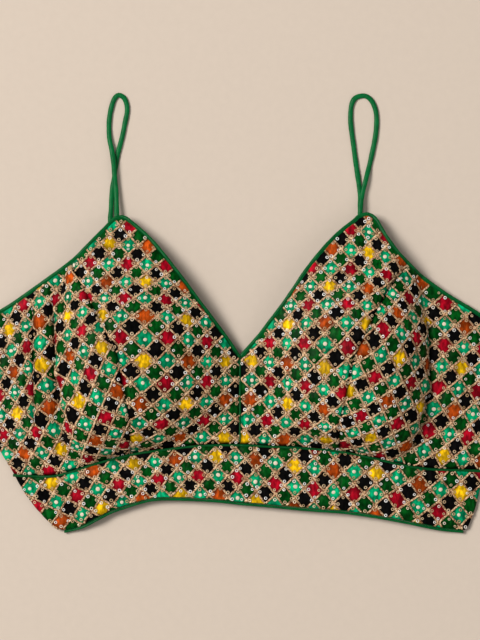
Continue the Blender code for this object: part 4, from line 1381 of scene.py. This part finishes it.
def tube_piece(node, slot, material, centres, radius, sides=TUBE_SIDES, squash=1.0):
    """A slightly ruched tube along the centres, in the place of a node."""
    centres = np.asarray(centres, float)
    wave = RUCHING * np.convolve(random.standard_normal(len(centres) + 4), np.ones(5) / 3, "valid")
    radii = radius * (1 + np.clip(wave, -RUCHING_LIMIT, RUCHING_LIMIT))
    points, faces = tube_mesh(centres, np.broadcast_to((0, 0, 1), centres.shape), radii, sides, squash)
    name = node
    for word, own_word in OWN_WORDS:
        name = name.replace(word, own_word)
    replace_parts(mesh_piece(name, points, faces, [material], slot), node)


def beside_edge(line, cloth_line):
    """Points of a piping beside a cloth edge, at the middle of the cloth's thickness."""
    return np.column_stack([line, shown_top(*cloth_line.T) - FRONT_THICKNESS / 2])


def between(route, low, high):
    """The stretch of a route whose distance from the centre front lies between two values."""
    out = np.abs(route[:, 0])
    ends = [[np.interp(x, out, column) for column in route.T] for x in (low, min(high, out[-1]))]
    return np.vstack([ends[0], route[(out > low) & (out < high - SEAM_GAP)], ends[1]])


def dress_piping():
    for side, label in SIDES.items():
        outline = chain(*((plan(rows, side), spans) for rows, spans in BOUND_EDGES))
        route = beside_edge(offset(outline, side * -BINDING_INSET), offset(outline, side * -EDGE_INSET))
        padded = np.pad(route[:, 2], EVENED // 2, "edge")
        route[:, 2] = np.convolve(padded, np.full(EVENED, 1 / EVENED), "valid")
        run = route[1] - route[0]
        route = np.vstack([route[0] - run * route[0][0] / run[0], route])
        ends = (0.0, SIDE_PIPING_START, math.inf)
        for name, low, high in zip(("binding_", "piping_side_"), ends, ends[1:]):
            tube_piece(name + label, "piping", BINDING, between(route, low, high), BINDING_HALF_WIDTH,
                       squash=BINDING_SQUASH)

        low, seam, top = back_lines(side)
        upward = -side * BACK_PIPING_ROOM
        for name, line, shift in (("back_top_", top, upward), ("band_back_", seam, 0.0),
                                  ("hem_back_", low, -upward)):
            moved = offset(line, shift)
            level = BACK_THICKNESS / 2 + back_level(side, moved[:, 0])
            tube_piece("piping_" + name + label, "piping", BINDING, np.column_stack([moved, level]),
                       BACK_PIPING_RADIUS)

    top_y = min(centre_line(side)[-1][1] for side in SIDES) + V_OVERLAP
    upright = resample(np.array([(0, BAND_PIPING_SHIFT), (0, top_y)]), UPRIGHT_POINTS - 1)
    on_band = resample(offset(SEAM_CURVE, -BAND_PIPING_SHIFT), LONG_SPANS)
    # The seam pipings take the binding's satin darkened as painted shade
    for node, line in (("piping_centre", upright), ("piping_band_front", on_band)):
        height = shown_top(*line.T) + SEAM_PIPING_RISE
        tube_piece(node, "piping", SHADED_SEAM_PIPING, np.column_stack([line, height]), SEAM_PIPING_RADIUS)
    hem = resample(HEM_CURVE, LONG_SPANS)
    route = beside_edge(offset(hem, PIPING_RADIUS), offset(hem, EDGE_INSET))
    tube_piece("piping_hem_front", "piping", BINDING, route, PIPING_RADIUS)


def dress_straps():
    for side, label in SIDES.items():
        stops, start = STRAP_PLANS[side], STRAP_START_LEVELS[side]
        flat = [LOW] * (len(stops) - len(start) - STOPS_ON_BACK)
        levels = start + flat + [ON_BACK] * STOPS_ON_BACK
        route = catmull_rom([(*stop, level) for stop, level in zip(stops, levels)])
        route = resample(route, STRAP_SPANS)
        route[:, 2] = np.maximum(route[:, 2], LOW)
        tube_piece("strap_" + label, "strap", STRAP, route, STRAP_HALF_WIDTH, STRAP_SIDES,
                   STRAP_HALF_THICKNESS / STRAP_HALF_WIDTH)


dress_front()
dress_back()
dress_piping()
dress_straps()
for number in (1, 2, 3):
    for kind in ("hook", "bar"):
        wire = bpy.data.objects[f"{kind}_{number}"]
        wire.data.materials.clear()
        wire.data.materials.append(WIRE)

# Floor, light and camera
FLOOR_REACH = 12
SOFT_WHITE = (1.0, 0.97, 0.95)
FRAME_MIDDLE = (-0.0002, -0.0061)
FRAME_LENGTH = 0.544
LENS = 200.0
SENSOR = 36.0
Lamp = namedtuple("Lamp", "name place size energy")
LAMPS = (Lamp("key", (-2.8, 1.2, 4.0), 2.0, 258.0), Lamp("fill", (1.4, -0.8, 1.8), 1.8, 5.0))
WORLD_STRENGTH = 0.30


def add_floor():
    mesh = bpy.data.meshes.new("floor")
    corners = [(x * FLOOR_REACH, y * FLOOR_REACH, 0) for x, y in ((-1, -1), (1, -1), (1, 1), (-1, 1))]
    mesh.from_pydata(corners, [], [(0, 1, 2, 3)])
    pale = plain_cloth("draped_cloth", (0.62, 0.53, 0.44), roughness=0.85, spread=0.03, fold_depth=0.0)
    mesh.materials.append(pale)
    shown("floor", mesh)


def add_lights():
    for lamp in LAMPS:
        data = bpy.data.lights.new(lamp.name, "AREA")
        data.size, data.energy, data.color = lamp.size, lamp.energy, SOFT_WHITE
        light = shown(lamp.name, data)
        light.location = lamp.place
        light.rotation_euler = Vector(lamp.place).to_track_quat("Z", "Y").to_euler()
    world = bpy.data.worlds.new("studio")
    world.use_nodes = True
    background = world.node_tree.nodes["Background"]
    background.inputs["Color"].default_value = (*SOFT_WHITE, 1)
    background.inputs["Strength"].default_value = WORLD_STRENGTH
    bpy.context.scene.world = world
    bpy.context.scene.view_settings.view_transform = "Standard"


def add_camera():
    data = bpy.data.cameras.new("camera")
    data.lens, data.clip_end = LENS, 20.0
    data.sensor_fit, data.sensor_height = "VERTICAL", SENSOR
    camera = shown("camera", data)
    camera.location = (*FRAME_MIDDLE, FRAME_LENGTH * LENS / SENSOR)
    bpy.context.scene.camera = camera


add_floor()
add_lights()
add_camera()
